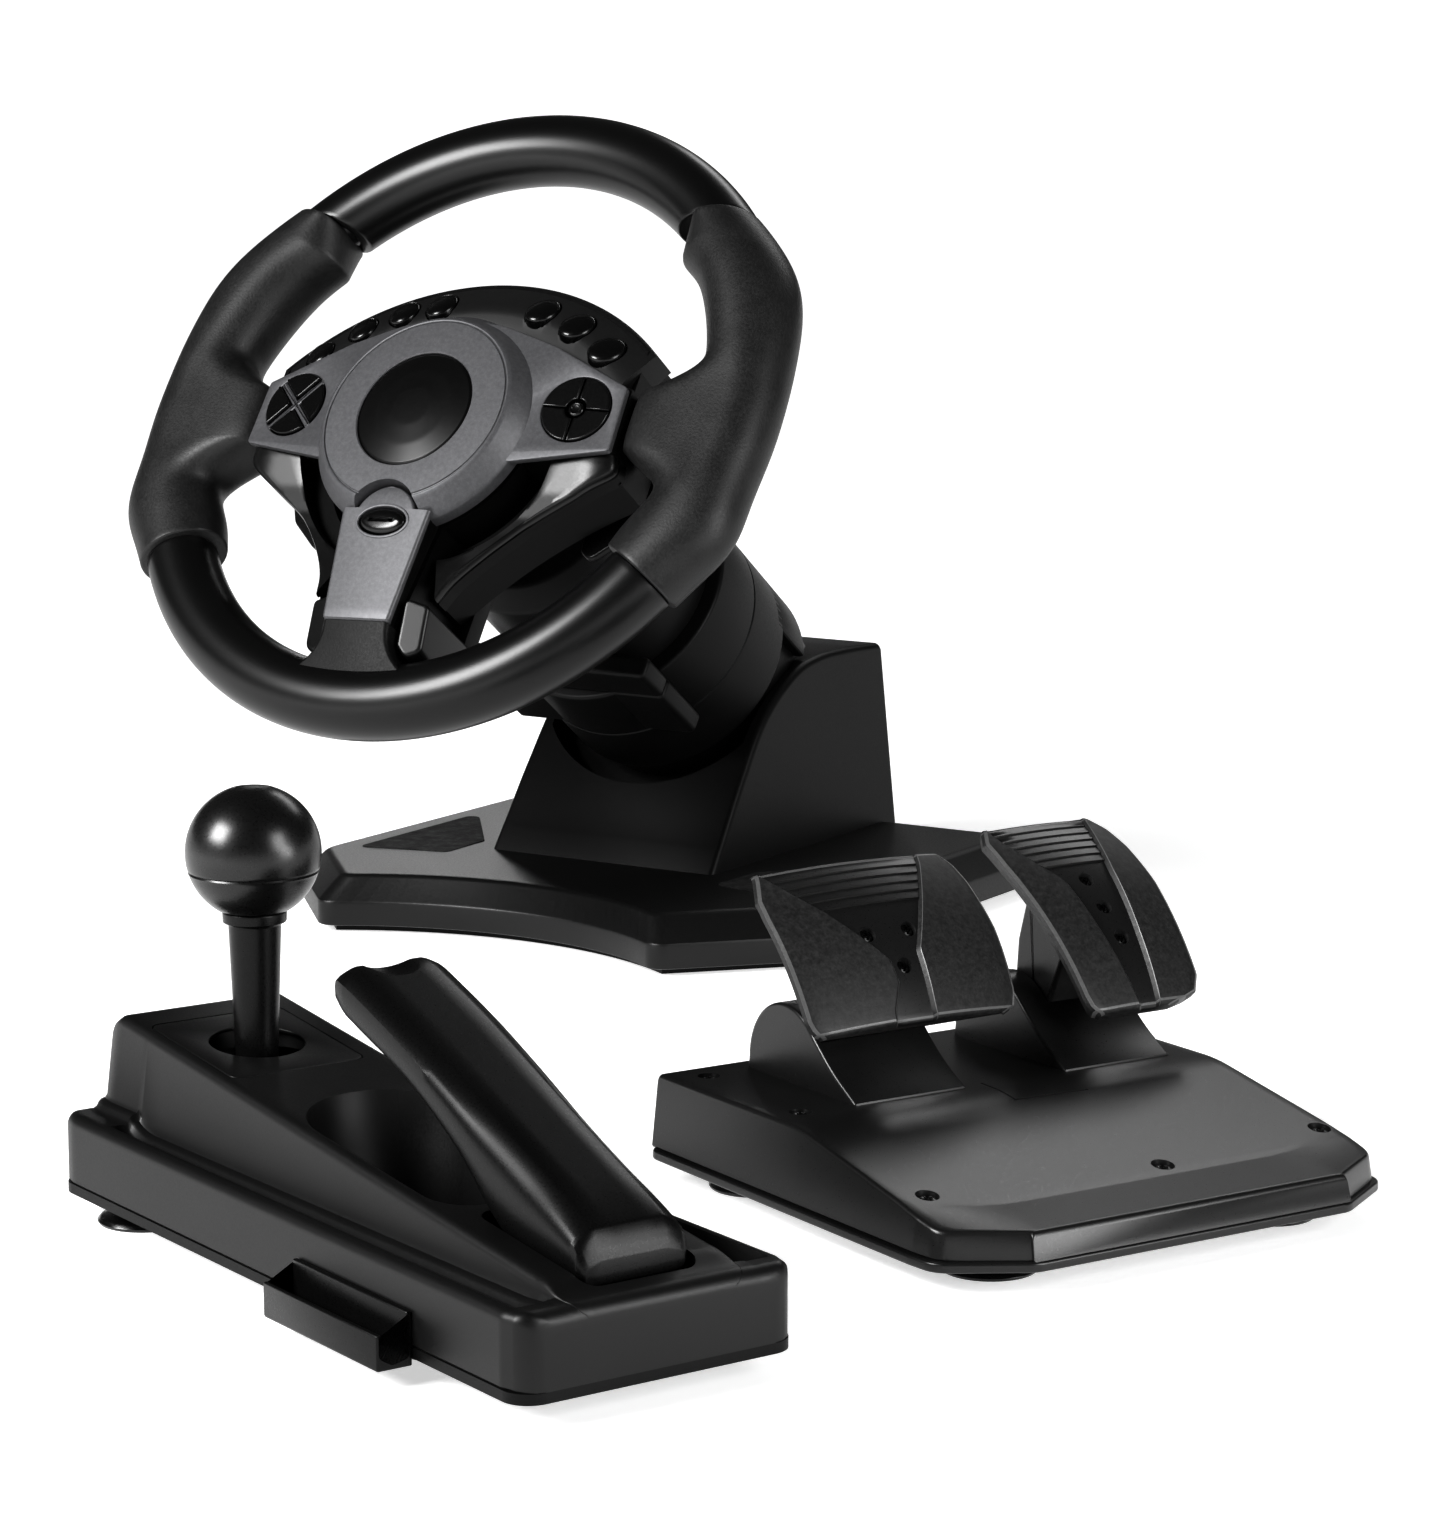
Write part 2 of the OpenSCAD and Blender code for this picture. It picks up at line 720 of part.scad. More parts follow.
// A coil along Z, drawn as one tube with square-cut ends.
module coil(r, wire, turns, length) {
  m = turns * 8;
  n = 6;
  pts = [for (i = [0 : m]) for (j = [0 : n - 1])
    let (a = i * 45, p = r + wire * cos(j * 60))
      [p * cos(a), p * sin(a), length * i / m + wire * sin(j * 60)]];
  faces = concat(
    [for (a = [0 : n : (m - 1) * n]) for (j = [0 : n - 1]) let (u = (j + 1) % n, b = a + n)
      [a + j, a + u, b + u]],
    [for (a = [0 : n : (m - 1) * n]) for (j = [0 : n - 1]) let (u = (j + 1) % n, b = a + n)
      [a + j, b + u, b + j]],
    [[for (j = [0 : n - 1]) n - 1 - j]],
    [[for (j = [0 : n - 1]) m * n + j]]);
  polyhedron(points = pts, faces = faces);
}

module head_front() {
  f = -head_front_n;
  m = -head_mid_n;
  r = head_r - 6;
  color("#222222") in_head() difference() {
    union() {
      rotate_extrude($fn = 96) polygon([[0, m], [r, m], [r, f - 8], [r - 6, f], [0, f]]);
      translate([-tray_w, -tray_v, m]) cube([2 * tray_w, 9, 17]);
    }
    translate([0, 0, m - 1]) cylinder(r = r - 5, h = head_mid_n - head_front_n - 11);
    translate([0, 0, f - 20]) cylinder(r = bush_r, h = 16);
    translate([0, 0, f - 20]) cylinder(r = shaft_r + 2, h = 40);
  }
}

module head_rear() {
  m = -head_mid_n;
  b = -head_back_n;
  c = b - head_cap;
  color("#1d1d1d") in_head() difference() {
    union() {
      rotate_extrude($fn = 96) polygon([[0, m], [head_r, m], [head_r, b + 1], [head_r - 1, b], [ring_r, b],
        [ring_r, c + 6], [ring_r - 6, c], [0, c]]);
      intersection() {
        translate([0, 0, b - hood]) cylinder(r = head_r, h = hood + 5, $fn = 96);
        translate([-60, 16, b - hood]) cube([120, 60, hood + 5]);
      }
      translate([-tray_w, -tray_v, m - 30]) cube([2 * tray_w, 9, 30]);
    }
    translate([0, 0, b + 8]) cylinder(r = head_r - 5, h = head_back_n - head_mid_n);
    translate([0, 0, b - 8]) cylinder(r = bush_r, h = 30);
    translate([0, 0, b - 34]) cylinder(r = shaft_r + 3, h = 60);
  }
}

module shaft_bearings() {
  color("DarkGoldenrod") in_head() for (n = [-head_front_n - 14, -head_back_n - 8])
    translate([0, 0, n]) difference() {
      cylinder(r = bush_r - run, h = 10);
      translate([0, 0, -1]) cylinder(r = shaft_r + run, h = 12);
    }
}

module centering_spring() {
  color("SlateGray") in_head() translate([0, 0, -head_back_n + 9.63]) coil(shaft_r + 7, 1.6, 6, 36);
}

module sensor(r, t) {
  difference() {
    cylinder(r = r, h = t);
    translate([0, 0, -1]) cylinder(r = pin_r + run, h = t + 2);
  }
}

module position_sensors() {
  c = -head_back_n - 34;
  color("MidnightBlue") {
    in_head() translate([0, 0, c]) cylinder(r = shaft_r + 3 - run, h = -shaft_end - c - 0.3);
    in_pedals() for (x = [brake_x, gas_x])
      translate([x - dome_w / 2 + shell_t + 0.1, pivot_y, pivot_z]) rotate([0, 90, 0])
        sensor(8, dome_w / 2 - shell_t - arm_w / 2 - 0.5);
  }
}

// Base and column

module base_2d(e) {
  bow_r = (base_nose * base_nose / 4 + base_bow * base_bow) / (2 * base_bow);
  w = base_w / 2 + e;
  n = base_nose / 2 + e / 2;
  difference() {
    polygon([[-n, base_front - e], [n, base_front - e], [w, base_front + 46 - e / 2], [w, base_back - 8],
      [w - 10, base_back + e], [-w + 10, base_back + e], [-w, base_back - 8], [-w, base_front + 46 - e / 2]]);
    translate([0, base_front + base_bow - bow_r]) circle(r = bow_r - e, $fn = 96);
  }
}

module pad_2d(e) {
  w = base_w / 2 + e;
  polygon([[w - 20, base_front + 58 - e], [64 - e, base_front + 68 - e], [65 - e, base_front + 96],
    [w - 19, base_front + 146 + e]]);
}

module base_shell() {
  top = base_h - band_z;
  color("#242424") difference() {
    union() {
      difference() {
        union() {
          slab(floor_t, band_z) base_2d(0);
          translate([0, 0, band_z]) linear_extrude(height = top, scale = 0.93) base_2d(0);
        }
        slab(floor_t - 1, band_z) base_2d(-base_wall);
        translate([0, 0, band_z - 0.01]) linear_extrude(height = top - base_wall, scale = 0.95)
          base_2d(-base_wall);
      }
      for (p = base_cups)
        translate([p[0], p[1], cup_h]) cylinder(r = 8, h = base_h - base_wall - cup_h + 0.5);
      for (p = base_posts)
        translate([p[0], p[1], floor_t]) cylinder(r = 5, h = base_h - base_wall - floor_t + 0.5);
    }
    for (s = [0, 1])
      mirror([s, 0, 0]) slab(base_h - 1, base_h + 1) pad_2d(fit);
  }
}

module base_floor() {
  color("#1b1b1b") slab(0, floor_t) difference() {
    base_2d(-7);
    for (p = base_cups)
      translate(p) circle(r = 16);
  }
}

module arm_pads() {
  color("#4a4a4a") for (s = [0, 1])
    mirror([s, 0, 0]) slab(base_h - 1, base_h + 0.4) pad_2d(0);
}

// Point of a cubic sweep through its two ends.
function sweep(p, t) =
  pow(1 - t, 3) * p[0] + 3 * t * pow(1 - t, 2) * p[1] + 3 * t * t * (1 - t) * p[2] + pow(t, 3) * p[3];

module column_side_2d(e) {
  edge = [[col_front + 1.5 * e, base_h - e], [col_front + 35 + 1.3 * e, base_h + 0.56 * (col_z - base_h)],
    [col_front + 53 + e, col_z - e], [col_front + 90, col_z - e]];
  polygon(concat([for (i = [0 : 12]) sweep(edge, i / 12)],
    [[col_back - 10 - e, col_z - 2 - e], [col_back - e, base_h - e]]));
}

module column_front_2d(e) {
  w = col_w / 2 - e;
  polygon([[-w, 0], [w, 0], [w - 4, col_z + 10], [-w + 4, col_z + 10]]);
}

module column_shell() {
  color("#232323") difference() {
    intersection() {
      across(-col_w, col_w) column_side_2d(0);
      translate([0, 200, 0]) rotate([90, 0, 0]) linear_extrude(height = 400) column_front_2d(0);
    }
    intersection() {
      across(-col_w, col_w) column_side_2d(base_wall);
      translate([0, 200, 0]) rotate([90, 0, 0]) linear_extrude(height = 400) column_front_2d(base_wall);
    }
    in_head() {
      translate([0, 0, -head_back_n - head_cap - 0.5]) cylinder(r = ring_r + run, h = 200, $fn = 96);
      translate([-col_w / 2 + 8, 0, 0]) intersection() {
        translate([col_w / 2 - 8, 0, -head_back_n - 16]) cylinder(r = cradle_r, h = 100, $fn = 96);
        translate([0, -100, -head_back_n - 16]) cube([col_w - 16, 140, 100]);
      }
      intersection() {
        translate([0, 0, -head_back_n - hood - 0.3]) cylinder(r = head_r + run, h = 100, $fn = 96);
        translate([-60, 15.5, -head_back_n - hood - 0.3]) cube([120, 60, 100]);
      }
    }
  }
}

// Pedal unit

module pedal_plan_2d(e) {
  w = pedal_w + 2 * e;
  f = 24;
  translate([-w / 2 + f, -e]) square([w - 2 * f, f]);
  translate([-w / 2, f - e]) square([w, pedal_d + 2 * e - f - 6]);
  translate([-w / 2 + 6, pedal_d - 10]) square([w - 12, 10 + e]);
  for (s = [-1, 1]) {
    translate([s * (w / 2 - f), f - e]) circle(r = f);
    translate([s * (w / 2 - 6), pedal_d + e - 6]) circle(r = 6);
  }
}

module pedal_side_2d(e) {
  polygon([[-1, -1], [-1, lip_z - e], [2, lip_z - e], [24, lip_z + 5 - e], [slope_end, deck_z - e],
    [pedal_d + 1, deck_z - e], [pedal_d + 1, -1]]);
}

module pedal_front_2d(e) {
  w = pedal_half - e;
  polygon([[-w, 0], [w, 0], [w - 6, deck_z], [-w + 6, deck_z]]);
}

module pedal_block(e, z0) {
  intersection() {
    slab(z0, 60) pedal_plan_2d(-e);
    across(-pedal_w, pedal_w) pedal_side_2d(e);
    translate([0, pedal_d + 50, 0]) rotate([90, 0, 0]) linear_extrude(height = pedal_d + 100)
      pedal_front_2d(e);
  }
}

module dome_2d() {
  z = deck_z - 3;
  translate([pivot_y + 3, deck_z + 4]) circle(r = dome_r);
  translate([pivot_y + 3 - dome_r, z]) square([2 * dome_r, 7]);
  difference() {
    translate([pivot_y - 35, z]) square([38, dome_r + 7]);
    translate([pivot_y - 35, deck_z + 28]) circle(r = 26);
  }
}

module dome_cavity(x) {
  rod_x(x - dome_w / 2 + shell_t, x + dome_w / 2 - shell_t, pivot_y + 3, deck_z + 4, dome_r - shell_t);
  translate([x - arm_w / 2 - 0.8, pivot_y - 13, deck_z - 4]) cube([arm_w + 1.6, 32, 60]);
  rod_x(x - dome_w, x + dome_w, pivot_y, pivot_z, pin_r + run);
}

module pedal_shell() {
  color("#333333") in_pedals() difference() {
    union() {
      difference() {
        pedal_block(0, pedal_floor_z);
        pedal_block(shell_t, pedal_floor_z - 1);
      }
      for (x = [brake_x, gas_x]) {
        across(x - dome_w / 2, x + dome_w / 2) dome_2d();
        for (s = [-1, 1])
          translate([x + s * (dome_w / 2 - shell_t / 2) - shell_t / 2, pivot_y - 8, pivot_z - 8])
            cube([shell_t, 16, 12]);
      }
      for (p = pedal_screws)
        translate([p[0], p[1], pedal_floor_z]) cylinder(r = 3.6, h = screw_seat(p) - pedal_floor_z - 0.5);
    }
    for (x = [brake_x, gas_x])
      dome_cavity(x);
    for (p = pedal_screws)
      translate([p[0], p[1], pedal_floor_z + 2]) cylinder(r = 1.6, h = 40);
    for (p = pedal_screws)
      translate([p[0], p[1], screw_seat(p)]) cylinder(r = 3.6, h = 20);
  }
}

// Height where a deck screw's head sits, a little under the deck.
function screw_seat(p) =
  lip_z - 1.4 + (p[1] < 24 ? 0 : p[1] < slope_end ? 5 + (p[1] - 24) / (slope_end - 24) * (deck_z - lip_z - 5)
    : deck_z - lip_z);

module pedal_floor() {
  color("#262626") in_pedals() slab(foot_h, pedal_floor_z) pedal_plan_2d(0.8);
}

module pedal_arm(x, c, lean, drum) {
  back = c - pad_t * [-cos(lean), sin(lean)];
  along = [sin(lean), cos(lean)];
  difference() {
    intersection() {
      union() {
        rod_x(x - arm_w / 2, x + arm_w / 2, pivot_y, pivot_z, 8);
        across(x - arm_w / 2, x + arm_w / 2) polygon([[pivot_y - 7, pivot_z + 3], [pivot_y - 9, dome_top + 1],
          back - 13 * along, back + 13 * along, [pivot_y + 4, dome_top + 10], [pivot_y + 7, pivot_z + 3]]);
      }
      on_pad(x, c, lean) rod_x(-arm_w, arm_w, 0, -drum - pad_t, drum - 0.02, $fn = 180);
    }
    rod_x(x - arm_w, x + arm_w, pivot_y, pivot_z, pin_r + run);
  }
}

module on_pad(x, c, lean) {
  translate([x, c[0], c[1]]) rotate([90 - lean, 0, 0]) children();
}

// A crowned pad: a slice of a drum, cut to its outline.
module pad_plate(w, l, r, top) {
  h = l / 2;
  k = w / 2;
  c = 5;
  intersection() {
    difference() {
      translate([-w, 0, -r]) rotate([0, 90, 0]) cylinder(r = r, h = 2 * w, $fn = 180);
      translate([-2 * w, 0, -r - pad_t]) rotate([0, 90, 0]) cylinder(r = r, h = 4 * w, $fn = 180);
    }
    slab(-20, 5) polygon([[-k + c, -h], [k - c, -h], [k, -h + c], [k * top, h - c], [k * top - c, h],
      [-k * top + c, h], [-k * top, h - c], [-k, -h + c]]);
  }
}

module brake_arm() {
  color("#2a2a2a") in_pedals() pedal_arm(brake_x, brake_c, brake_lean, brake_drum);
}

module gas_arm() {
  color("#2a2a2a") in_pedals() pedal_arm(gas_x, gas_c, gas_lean, gas_drum);
}

module brake_pad() {
  color("#3d3d3d") in_pedals() on_pad(brake_pad_x, brake_c, brake_lean) difference() {
    pad_plate(brake_w, brake_l, brake_drum, 0.87);
    for (i = [0 : 4])
      translate([-brake_w / 2, 5 + 4 * i, -pow(5 + 4 * i, 2) / 280 - 0.9]) cube([brake_w, 1.4, 8]);
    for (p = [[-9, 0], [9, 0], [0, -14]])
      translate([p[0], p[1], -2.4]) cylinder(r = 2.6, h = 8);
  }
}

module gas_pad() {
  color("#3d3d3d") in_pedals() on_pad(gas_pad_x, gas_c, gas_lean) difference() {
    pad_plate(gas_w, gas_l, gas_drum, 0.94);
    for (i = [0 : 4])
      translate([-gas_w / 2, 12 + 4 * i, -pow(12 + 4 * i, 2) / 320 - 0.9]) cube([gas_w, 1.4, 8]);
    for (v = [-18, -2, 8])
      translate([0, v, -2.6]) cylinder(r = 2.6, h = 8);
  }
}

module pivot_pins() {
  color("Silver") {
    in_pedals() for (x = [brake_x, gas_x])
      rod_x(x - dome_w / 2 + 0.3, x + dome_w / 2 - 0.3, pivot_y, pivot_z, pin_r);
    in_shifter() rod_x(-lever_w / 2 - 5.5, lever_w / 2 + 5.5, lever_y, lever_z, pin_r);
  }
}

module return_springs() {
  color("SlateGray") in_pedals() for (x = [brake_x, gas_x])
    translate([x + arm_w / 2 + 1.4, pivot_y, pivot_z]) rotate([0, 90, 0])
      coil(pin_r + 2.2, 0.8, 3, dome_w / 2 - shell_t - arm_w / 2 - 3);
}

// Gear and handbrake unit

module ridge_2d(e) {
  y = ridge_y + e;
  polygon([[y, 5], [y, ridge_front_z + slope * ridge_y - e], [shift_l - 12, ridge_back_z - e],
    [shift_l - 3 - e, ridge_back_z - 6 - e], [shift_l - e, 5]]);
}

module side_tray() {
  x = (ridge_w / 2 + shift_w / 2) / 2;
  for (y = [18, shift_l - 30])
    translate([-x, y, side_z - 4]) cylinder(r = 4.2, h = 20);
  translate([-x - 4.2, 18, side_z - 4]) cube([8.4, shift_l - 48, 20]);
}

module shifter_shell() {
  x = lever_w / 2 + 0.8;
  color("#1f1f1f") in_shifter() difference() {
    union() {
      difference() {
        union() {
          slab(shift_floor_z, side_z) rounded(shift_w, shift_l, 8);
          intersection() {
            slab(shift_floor_z, 90) rounded(ridge_w, shift_l, 12);
            across(-shift_w, shift_w) ridge_2d(0);
          }
        }
        slab(shift_floor_z - 1, side_z - 6) translate([0, shell_t])
          rounded(shift_w - 2 * shell_t, shift_l - 2 * shell_t, 6);
        intersection() {
          slab(shift_floor_z - 1, 90) translate([0, shell_t])
            rounded(ridge_w - 2 * shell_t, shift_l - 2 * shell_t, 10);
          across(-shift_w, shift_w) ridge_2d(shell_t);
        }
      }
      translate([0, cup_y, cup_z - shell_t])
        cylinder(r = cup_r + 1.6, h = ridge_front_z + slope * (cup_y - cup_r) - cup_z);
      for (s = [0, 1])
        mirror([s, 0, 0]) translate([x, lever_y - 7, shift_floor_z + fit])
          cube([6.5, 14, ridge_front_z + slope * (lever_y - 7) - 1 - shift_floor_z]);
    }
    translate([0, cup_y, cup_z]) cylinder(r = cup_r, h = 80);
    translate([-x, 8, shift_floor_z - 1]) cube([2 * x, 54, 60]);
    rod_x(-x - 5, x + 5, lever_y, lever_z, pin_r + run);
    side_tray();
    mirror([1, 0, 0]) side_tray();
    translate([stick_x, stick_y, gate_z]) rotate([slope_a, 0, 0]) {
      translate([-gate_w / 2 - fit, -gate_l / 2 - fit, -1]) cube([gate_w + 2 * fit, gate_l + 2 * fit, 10]);
      translate([0, 0, -20]) cylinder(r = gate_r + 3, h = 40);
    }
  }
}

module shifter_floor() {
  color("#1b1b1b") in_shifter() {
    slab(foot_h, shift_floor_z) rounded(shift_w, shift_l, 8);
    for (s = [-1, 1])
      difference() {
        translate([stick_x + s * 19 - 3, stick_y - 6, shift_floor_z - 0.5])
          cube([6, 12, stick_z - shift_floor_z + 6.5]);
        rod_x(stick_x + s * 19 - 4, stick_x + s * 19 + 4, stick_y, stick_z, 3 + run);
      }
  }
}

module gate_plate() {
  color("#2b2b2b") in_shifter() translate([stick_x, stick_y, gate_z]) rotate([slope_a, 0, 0])
    translate([0, 0, -1]) linear_extrude(height = gate_t) difference() {
      square([gate_w, gate_l], center = true);
      circle(r = gate_r);
    }
}

module side_clip() {
  x = -shift_w / 2 - 0.05;
  color("#2d2d2d") in_shifter() {
    translate([x - 2.5, 52, 5]) cube([2.5, 60, 15]);
    translate([x - 11, 52, 5]) cube([11, 60, 2.5]);
    translate([x - 11, 52, 5]) cube([2.5, 60, 12]);
  }
}

module shift_gimbal() {
  color("Gray") in_shifter() translate([stick_x, stick_y, stick_z]) difference() {
    union() {
      translate([0, 0, -5]) cylinder(r = 13, h = 10);
      rod_x(-21, 21, 0, 0, 3);
    }
    translate([0, 0, -6]) cylinder(r = 9.5, h = 12);
    rotate([90, 0, 0]) translate([0, 0, -20]) cylinder(r = 2 + run, h = 40);
  }
}

module shift_stick() {
  color("#1a1a1a") in_shifter() translate([stick_x, stick_y, 0]) {
    translate([0, 0, stick_z - 6]) cylinder(r = 6, h = 12);
    translate([0, 0, stick_z + 5]) cylinder(r1 = 5.5, r2 = 8, h = knob_z - knob_r + 2 - stick_z - 5);
    translate([0, 0, knob_z - knob_r - 1]) cylinder(r = 9.5, h = 4);
    translate([0, 0, knob_z - knob_r + 2]) cylinder(r = 6, h = knob_r - 6);
    translate([0, 12.6, stick_z]) rotate([90, 0, 0]) cylinder(r = 2, h = 25.2);
  }
}

module shift_knob() {
  color("#141414") in_shifter() translate([stick_x, stick_y, knob_z]) difference() {
    intersection() {
      sphere(r = knob_r, $fn = 96);
      translate([-50, -50, -knob_r + 3]) cube([100, 100, 2 * knob_r - 4]);
    }
    translate([0, 0, -knob_r - 1]) cylinder(r = 6 + run, h = knob_r - 2.8);
    translate([0, 0, -5.4]) rotate_extrude() translate([knob_r - 1.6, 0]) square([3, 0.8]);
  }
}

// Centre of the circle through three points.
function circle_3(a, b, c) =
  let (d = 2 * (a[0] * (b[1] - c[1]) + b[0] * (c[1] - a[1]) + c[0] * (a[1] - b[1])),
    p = a * a, q = b * b, r = c * c)
  [(p * (b[1] - c[1]) + q * (c[1] - a[1]) + r * (a[1] - b[1])) / d,
    (p * (c[0] - b[0]) + q * (a[0] - c[0]) + r * (b[0] - a[0])) / d];

module lever_2d() {
  o = [lever_y, lever_z];
  t = circle_3(o + [-22, 11], o + [20, 35], o + [102, 65]);
  u = circle_3(o + [20, 11], o + [46, 33], o + [96, 53]);
  difference() {
    intersection() {
      translate(t) circle(r = norm(t - o - [-22, 11]), $fn = 180);
      polygon([o + [-24, 11], o + [24, 11], o + [107, 50], o + [101, 70], o + [20, 50], o + [-30, 30]]);
    }
    translate(u) circle(r = norm(u - o - [20, 11]), $fn = 180);
  }
}

module handbrake_lever() {
  color("#191919") in_shifter() difference() {
    union() {
      across(-lever_w / 2, lever_w / 2) lever_2d();
      rod_x(-lever_w / 2 + 3, lever_w / 2 - 3, lever_y, lever_z, 9);
      across(-lever_w / 2 + 3, lever_w / 2 - 3) translate([lever_y - 9, lever_z]) square([18, 13]);
    }
    rod_x(-lever_w, lever_w, lever_y, lever_z, pin_r + run);
  }
}

// Groups shared by the units

module cup(h) {
  rotate_extrude() polygon([[0, 0], [14, 0], [14.5, 1.2], [7, 4.6], [5.5, h], [0, h]]);
}

module suction_cups() {
  color("#101010") {
    for (p = base_cups)
      translate([p[0], p[1], 0]) cup(cup_h);
    in_pedals() for (p = pedal_cups)
      translate([p[0], p[1], 0]) cup(foot_h);
    in_shifter() for (p = shift_cups)
      translate([p[0], p[1], 0]) cup(foot_h);
  }
}

module case_screws() {
  color("#101010") in_pedals() for (p = pedal_screws)
    translate([p[0], p[1], screw_seat(p)]) {
      cylinder(r = 3.2, h = 1.6);
      translate([0, 0, -5]) cylinder(r = 1.5, h = 5.5);
    }
}

rim_core();
rim_top_cap();
rim_bottom_cap();
grip_left();
grip_right();
face_plate();
hub_cover();
hub_badge();
hub_shell();
hub_back();
button_panel();
spoke_foot();
wheel_board();
steering_shaft();
dpad_up();
dpad_right();
dpad_down();
dpad_left();
menu_top();
menu_right();
menu_bottom();
menu_left();
key_left_1();
key_left_2();
key_left_3();
key_left_4();
key_right_1();
key_right_2();
key_right_3();
start_key();
paddle_left();
paddle_right();
base_shell();
base_floor();
arm_pads();
column_shell();
head_front();
head_rear();
shaft_bearings();
centering_spring();
position_sensors();
pedal_shell();
pedal_floor();
pivot_pins();
return_springs();
brake_arm();
brake_pad();
gas_arm();
gas_pad();
shifter_shell();
shifter_floor();
gate_plate();
side_clip();
shift_gimbal();
shift_stick();
shift_knob();
handbrake_lever();
suction_cups();
case_screws();
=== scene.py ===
import bmesh
import bpy
import numpy as np
from mathutils import Euler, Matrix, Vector


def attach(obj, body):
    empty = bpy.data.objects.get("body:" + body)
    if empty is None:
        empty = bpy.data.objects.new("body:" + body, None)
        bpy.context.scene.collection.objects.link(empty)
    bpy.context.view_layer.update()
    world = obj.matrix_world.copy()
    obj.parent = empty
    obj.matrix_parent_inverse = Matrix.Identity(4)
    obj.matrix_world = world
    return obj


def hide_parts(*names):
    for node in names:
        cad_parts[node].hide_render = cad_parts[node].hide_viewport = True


# The three units of the set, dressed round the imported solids.
# Sizes are in millimetres in each unit's own frame and become metres as a mesh is made.
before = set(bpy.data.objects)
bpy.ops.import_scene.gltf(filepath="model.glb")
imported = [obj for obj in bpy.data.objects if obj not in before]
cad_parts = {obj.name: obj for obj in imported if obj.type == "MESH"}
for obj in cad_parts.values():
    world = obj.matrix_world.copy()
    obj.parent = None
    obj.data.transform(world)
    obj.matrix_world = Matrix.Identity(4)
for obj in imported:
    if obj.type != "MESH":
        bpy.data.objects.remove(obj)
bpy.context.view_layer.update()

# Base floor: the flat plate under the wheel base.
# Black ABS, injection moulded with a fine spark-eroded grain; it closes the shell from below.
# On it and on every piece, edges that turn by more than SHARP degrees stay crisp.
SHARP = 32


def linear(code):
    """sRGB hex to linear colour: c / 12.92 for the darkest tones, else ((c + 0.055) / 1.055) ** 2.4."""
    c = np.array([int(code[i:i + 2], 16) for i in (1, 3, 5)]) / 255
    return (*np.where(c <= 0.04045, c / 12.92, ((c + 0.055) / 1.055) ** 2.4), 1.0)


def add(mat, kind, links=None, **values):
    """Adds one shader node; values set its own fields or its sockets, links feed its sockets."""
    n = mat.node_tree.nodes.new("ShaderNode" + kind)
    for key, value in values.items():
        if hasattr(n, key):
            setattr(n, key, value)
        else:
            n.inputs[key.replace("_", " ")].default_value = value
    for key, source in (links or {}).items():
        mat.node_tree.links.new(source, n.inputs[key])
    return n


def blank(name):
    """A material with no nodes yet."""
    mat = bpy.data.materials.new(name)
    mat.use_nodes = True
    mat.node_tree.nodes.clear()
    return mat


def grained(name, dark, light, grain, relief, rough, spread=0.06, drift=45, **shader):
    """A finish with the fine grain that a tool, a lathe or a spray gun leaves: two close tones drift over
    drift mm, and a grain of grain mm lifts the surface by relief mm and varies the gloss by spread. The
    real grain is finer, and is drawn as coarse as it needs to show."""
    mat = blank(name)
    place = add(mat, "TexCoord").outputs["Object"]
    tones = add(mat, "TexNoise", {"Vector": place}, Scale=1000 / drift, Detail=3.0)
    pits = add(mat, "TexNoise", {"Vector": place}, Scale=1000 / grain, Detail=3.0, Roughness=0.6)
    both = add(mat, "Math", {0: tones.outputs["Fac"], 1: pits.outputs["Fac"]}, operation="MULTIPLY")
    spot = add(mat, "MapRange", {"Value": both.outputs[0]}, From_Min=0.12, From_Max=0.4)
    tone = add(mat, "MixRGB", {"Fac": spot.outputs[0]}, Color1=linear(dark), Color2=linear(light))
    gloss = add(mat, "MapRange", {"Value": pits.outputs["Fac"]}, From_Min=0.3, From_Max=0.7,
                To_Min=rough - spread, To_Max=rough + spread)
    lift = add(mat, "Bump", {"Height": pits.outputs["Fac"]}, Strength=0.6, Distance=relief / 1000)
    skin_shader = add(mat, "BsdfPrincipled", {"Base Color": tone.outputs[0], "Roughness": gloss.outputs[0],
                                              "Normal": lift.outputs[0]}, **shader)
    add(mat, "OutputMaterial", {"Surface": skin_shader.outputs[0]})
    return mat


def dress(material, slot, *names):
    """Gives CAD nodes that stay their finish."""
    for name in names:
        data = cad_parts[name].data
        data.materials.clear()
        data.materials.append(material)
        data.shade_smooth()
        data.set_sharp_from_angle(angle=np.radians(SHARP))


# Eroded ABS is black with a soft, slightly grey bloom where light grazes it.
eroded_abs = grained("eroded_black_abs", "#080808", "#0e0e0e", 0.7, 0.02, 0.42, Specular_IOR_Level=0.14)
dress(eroded_abs, "textured_black", "base_floor", "shifter_floor")

# Base shell: a low eight-sided tray with a hollowed front edge, a straight skirt and sloping shoulders.
# The same black ABS; the shoulder and the skirt meet in an eased edge that catches the light.
BASE_FRONT, BASE_BACK, BASE_HALF, NOSE_HALF, BOW = -115.5, 115.5, 122.0, 78.0, 24.0
SKIRT_Z, BASE_Z, TOP_SCALE = 13.0, 23.0, 0.93


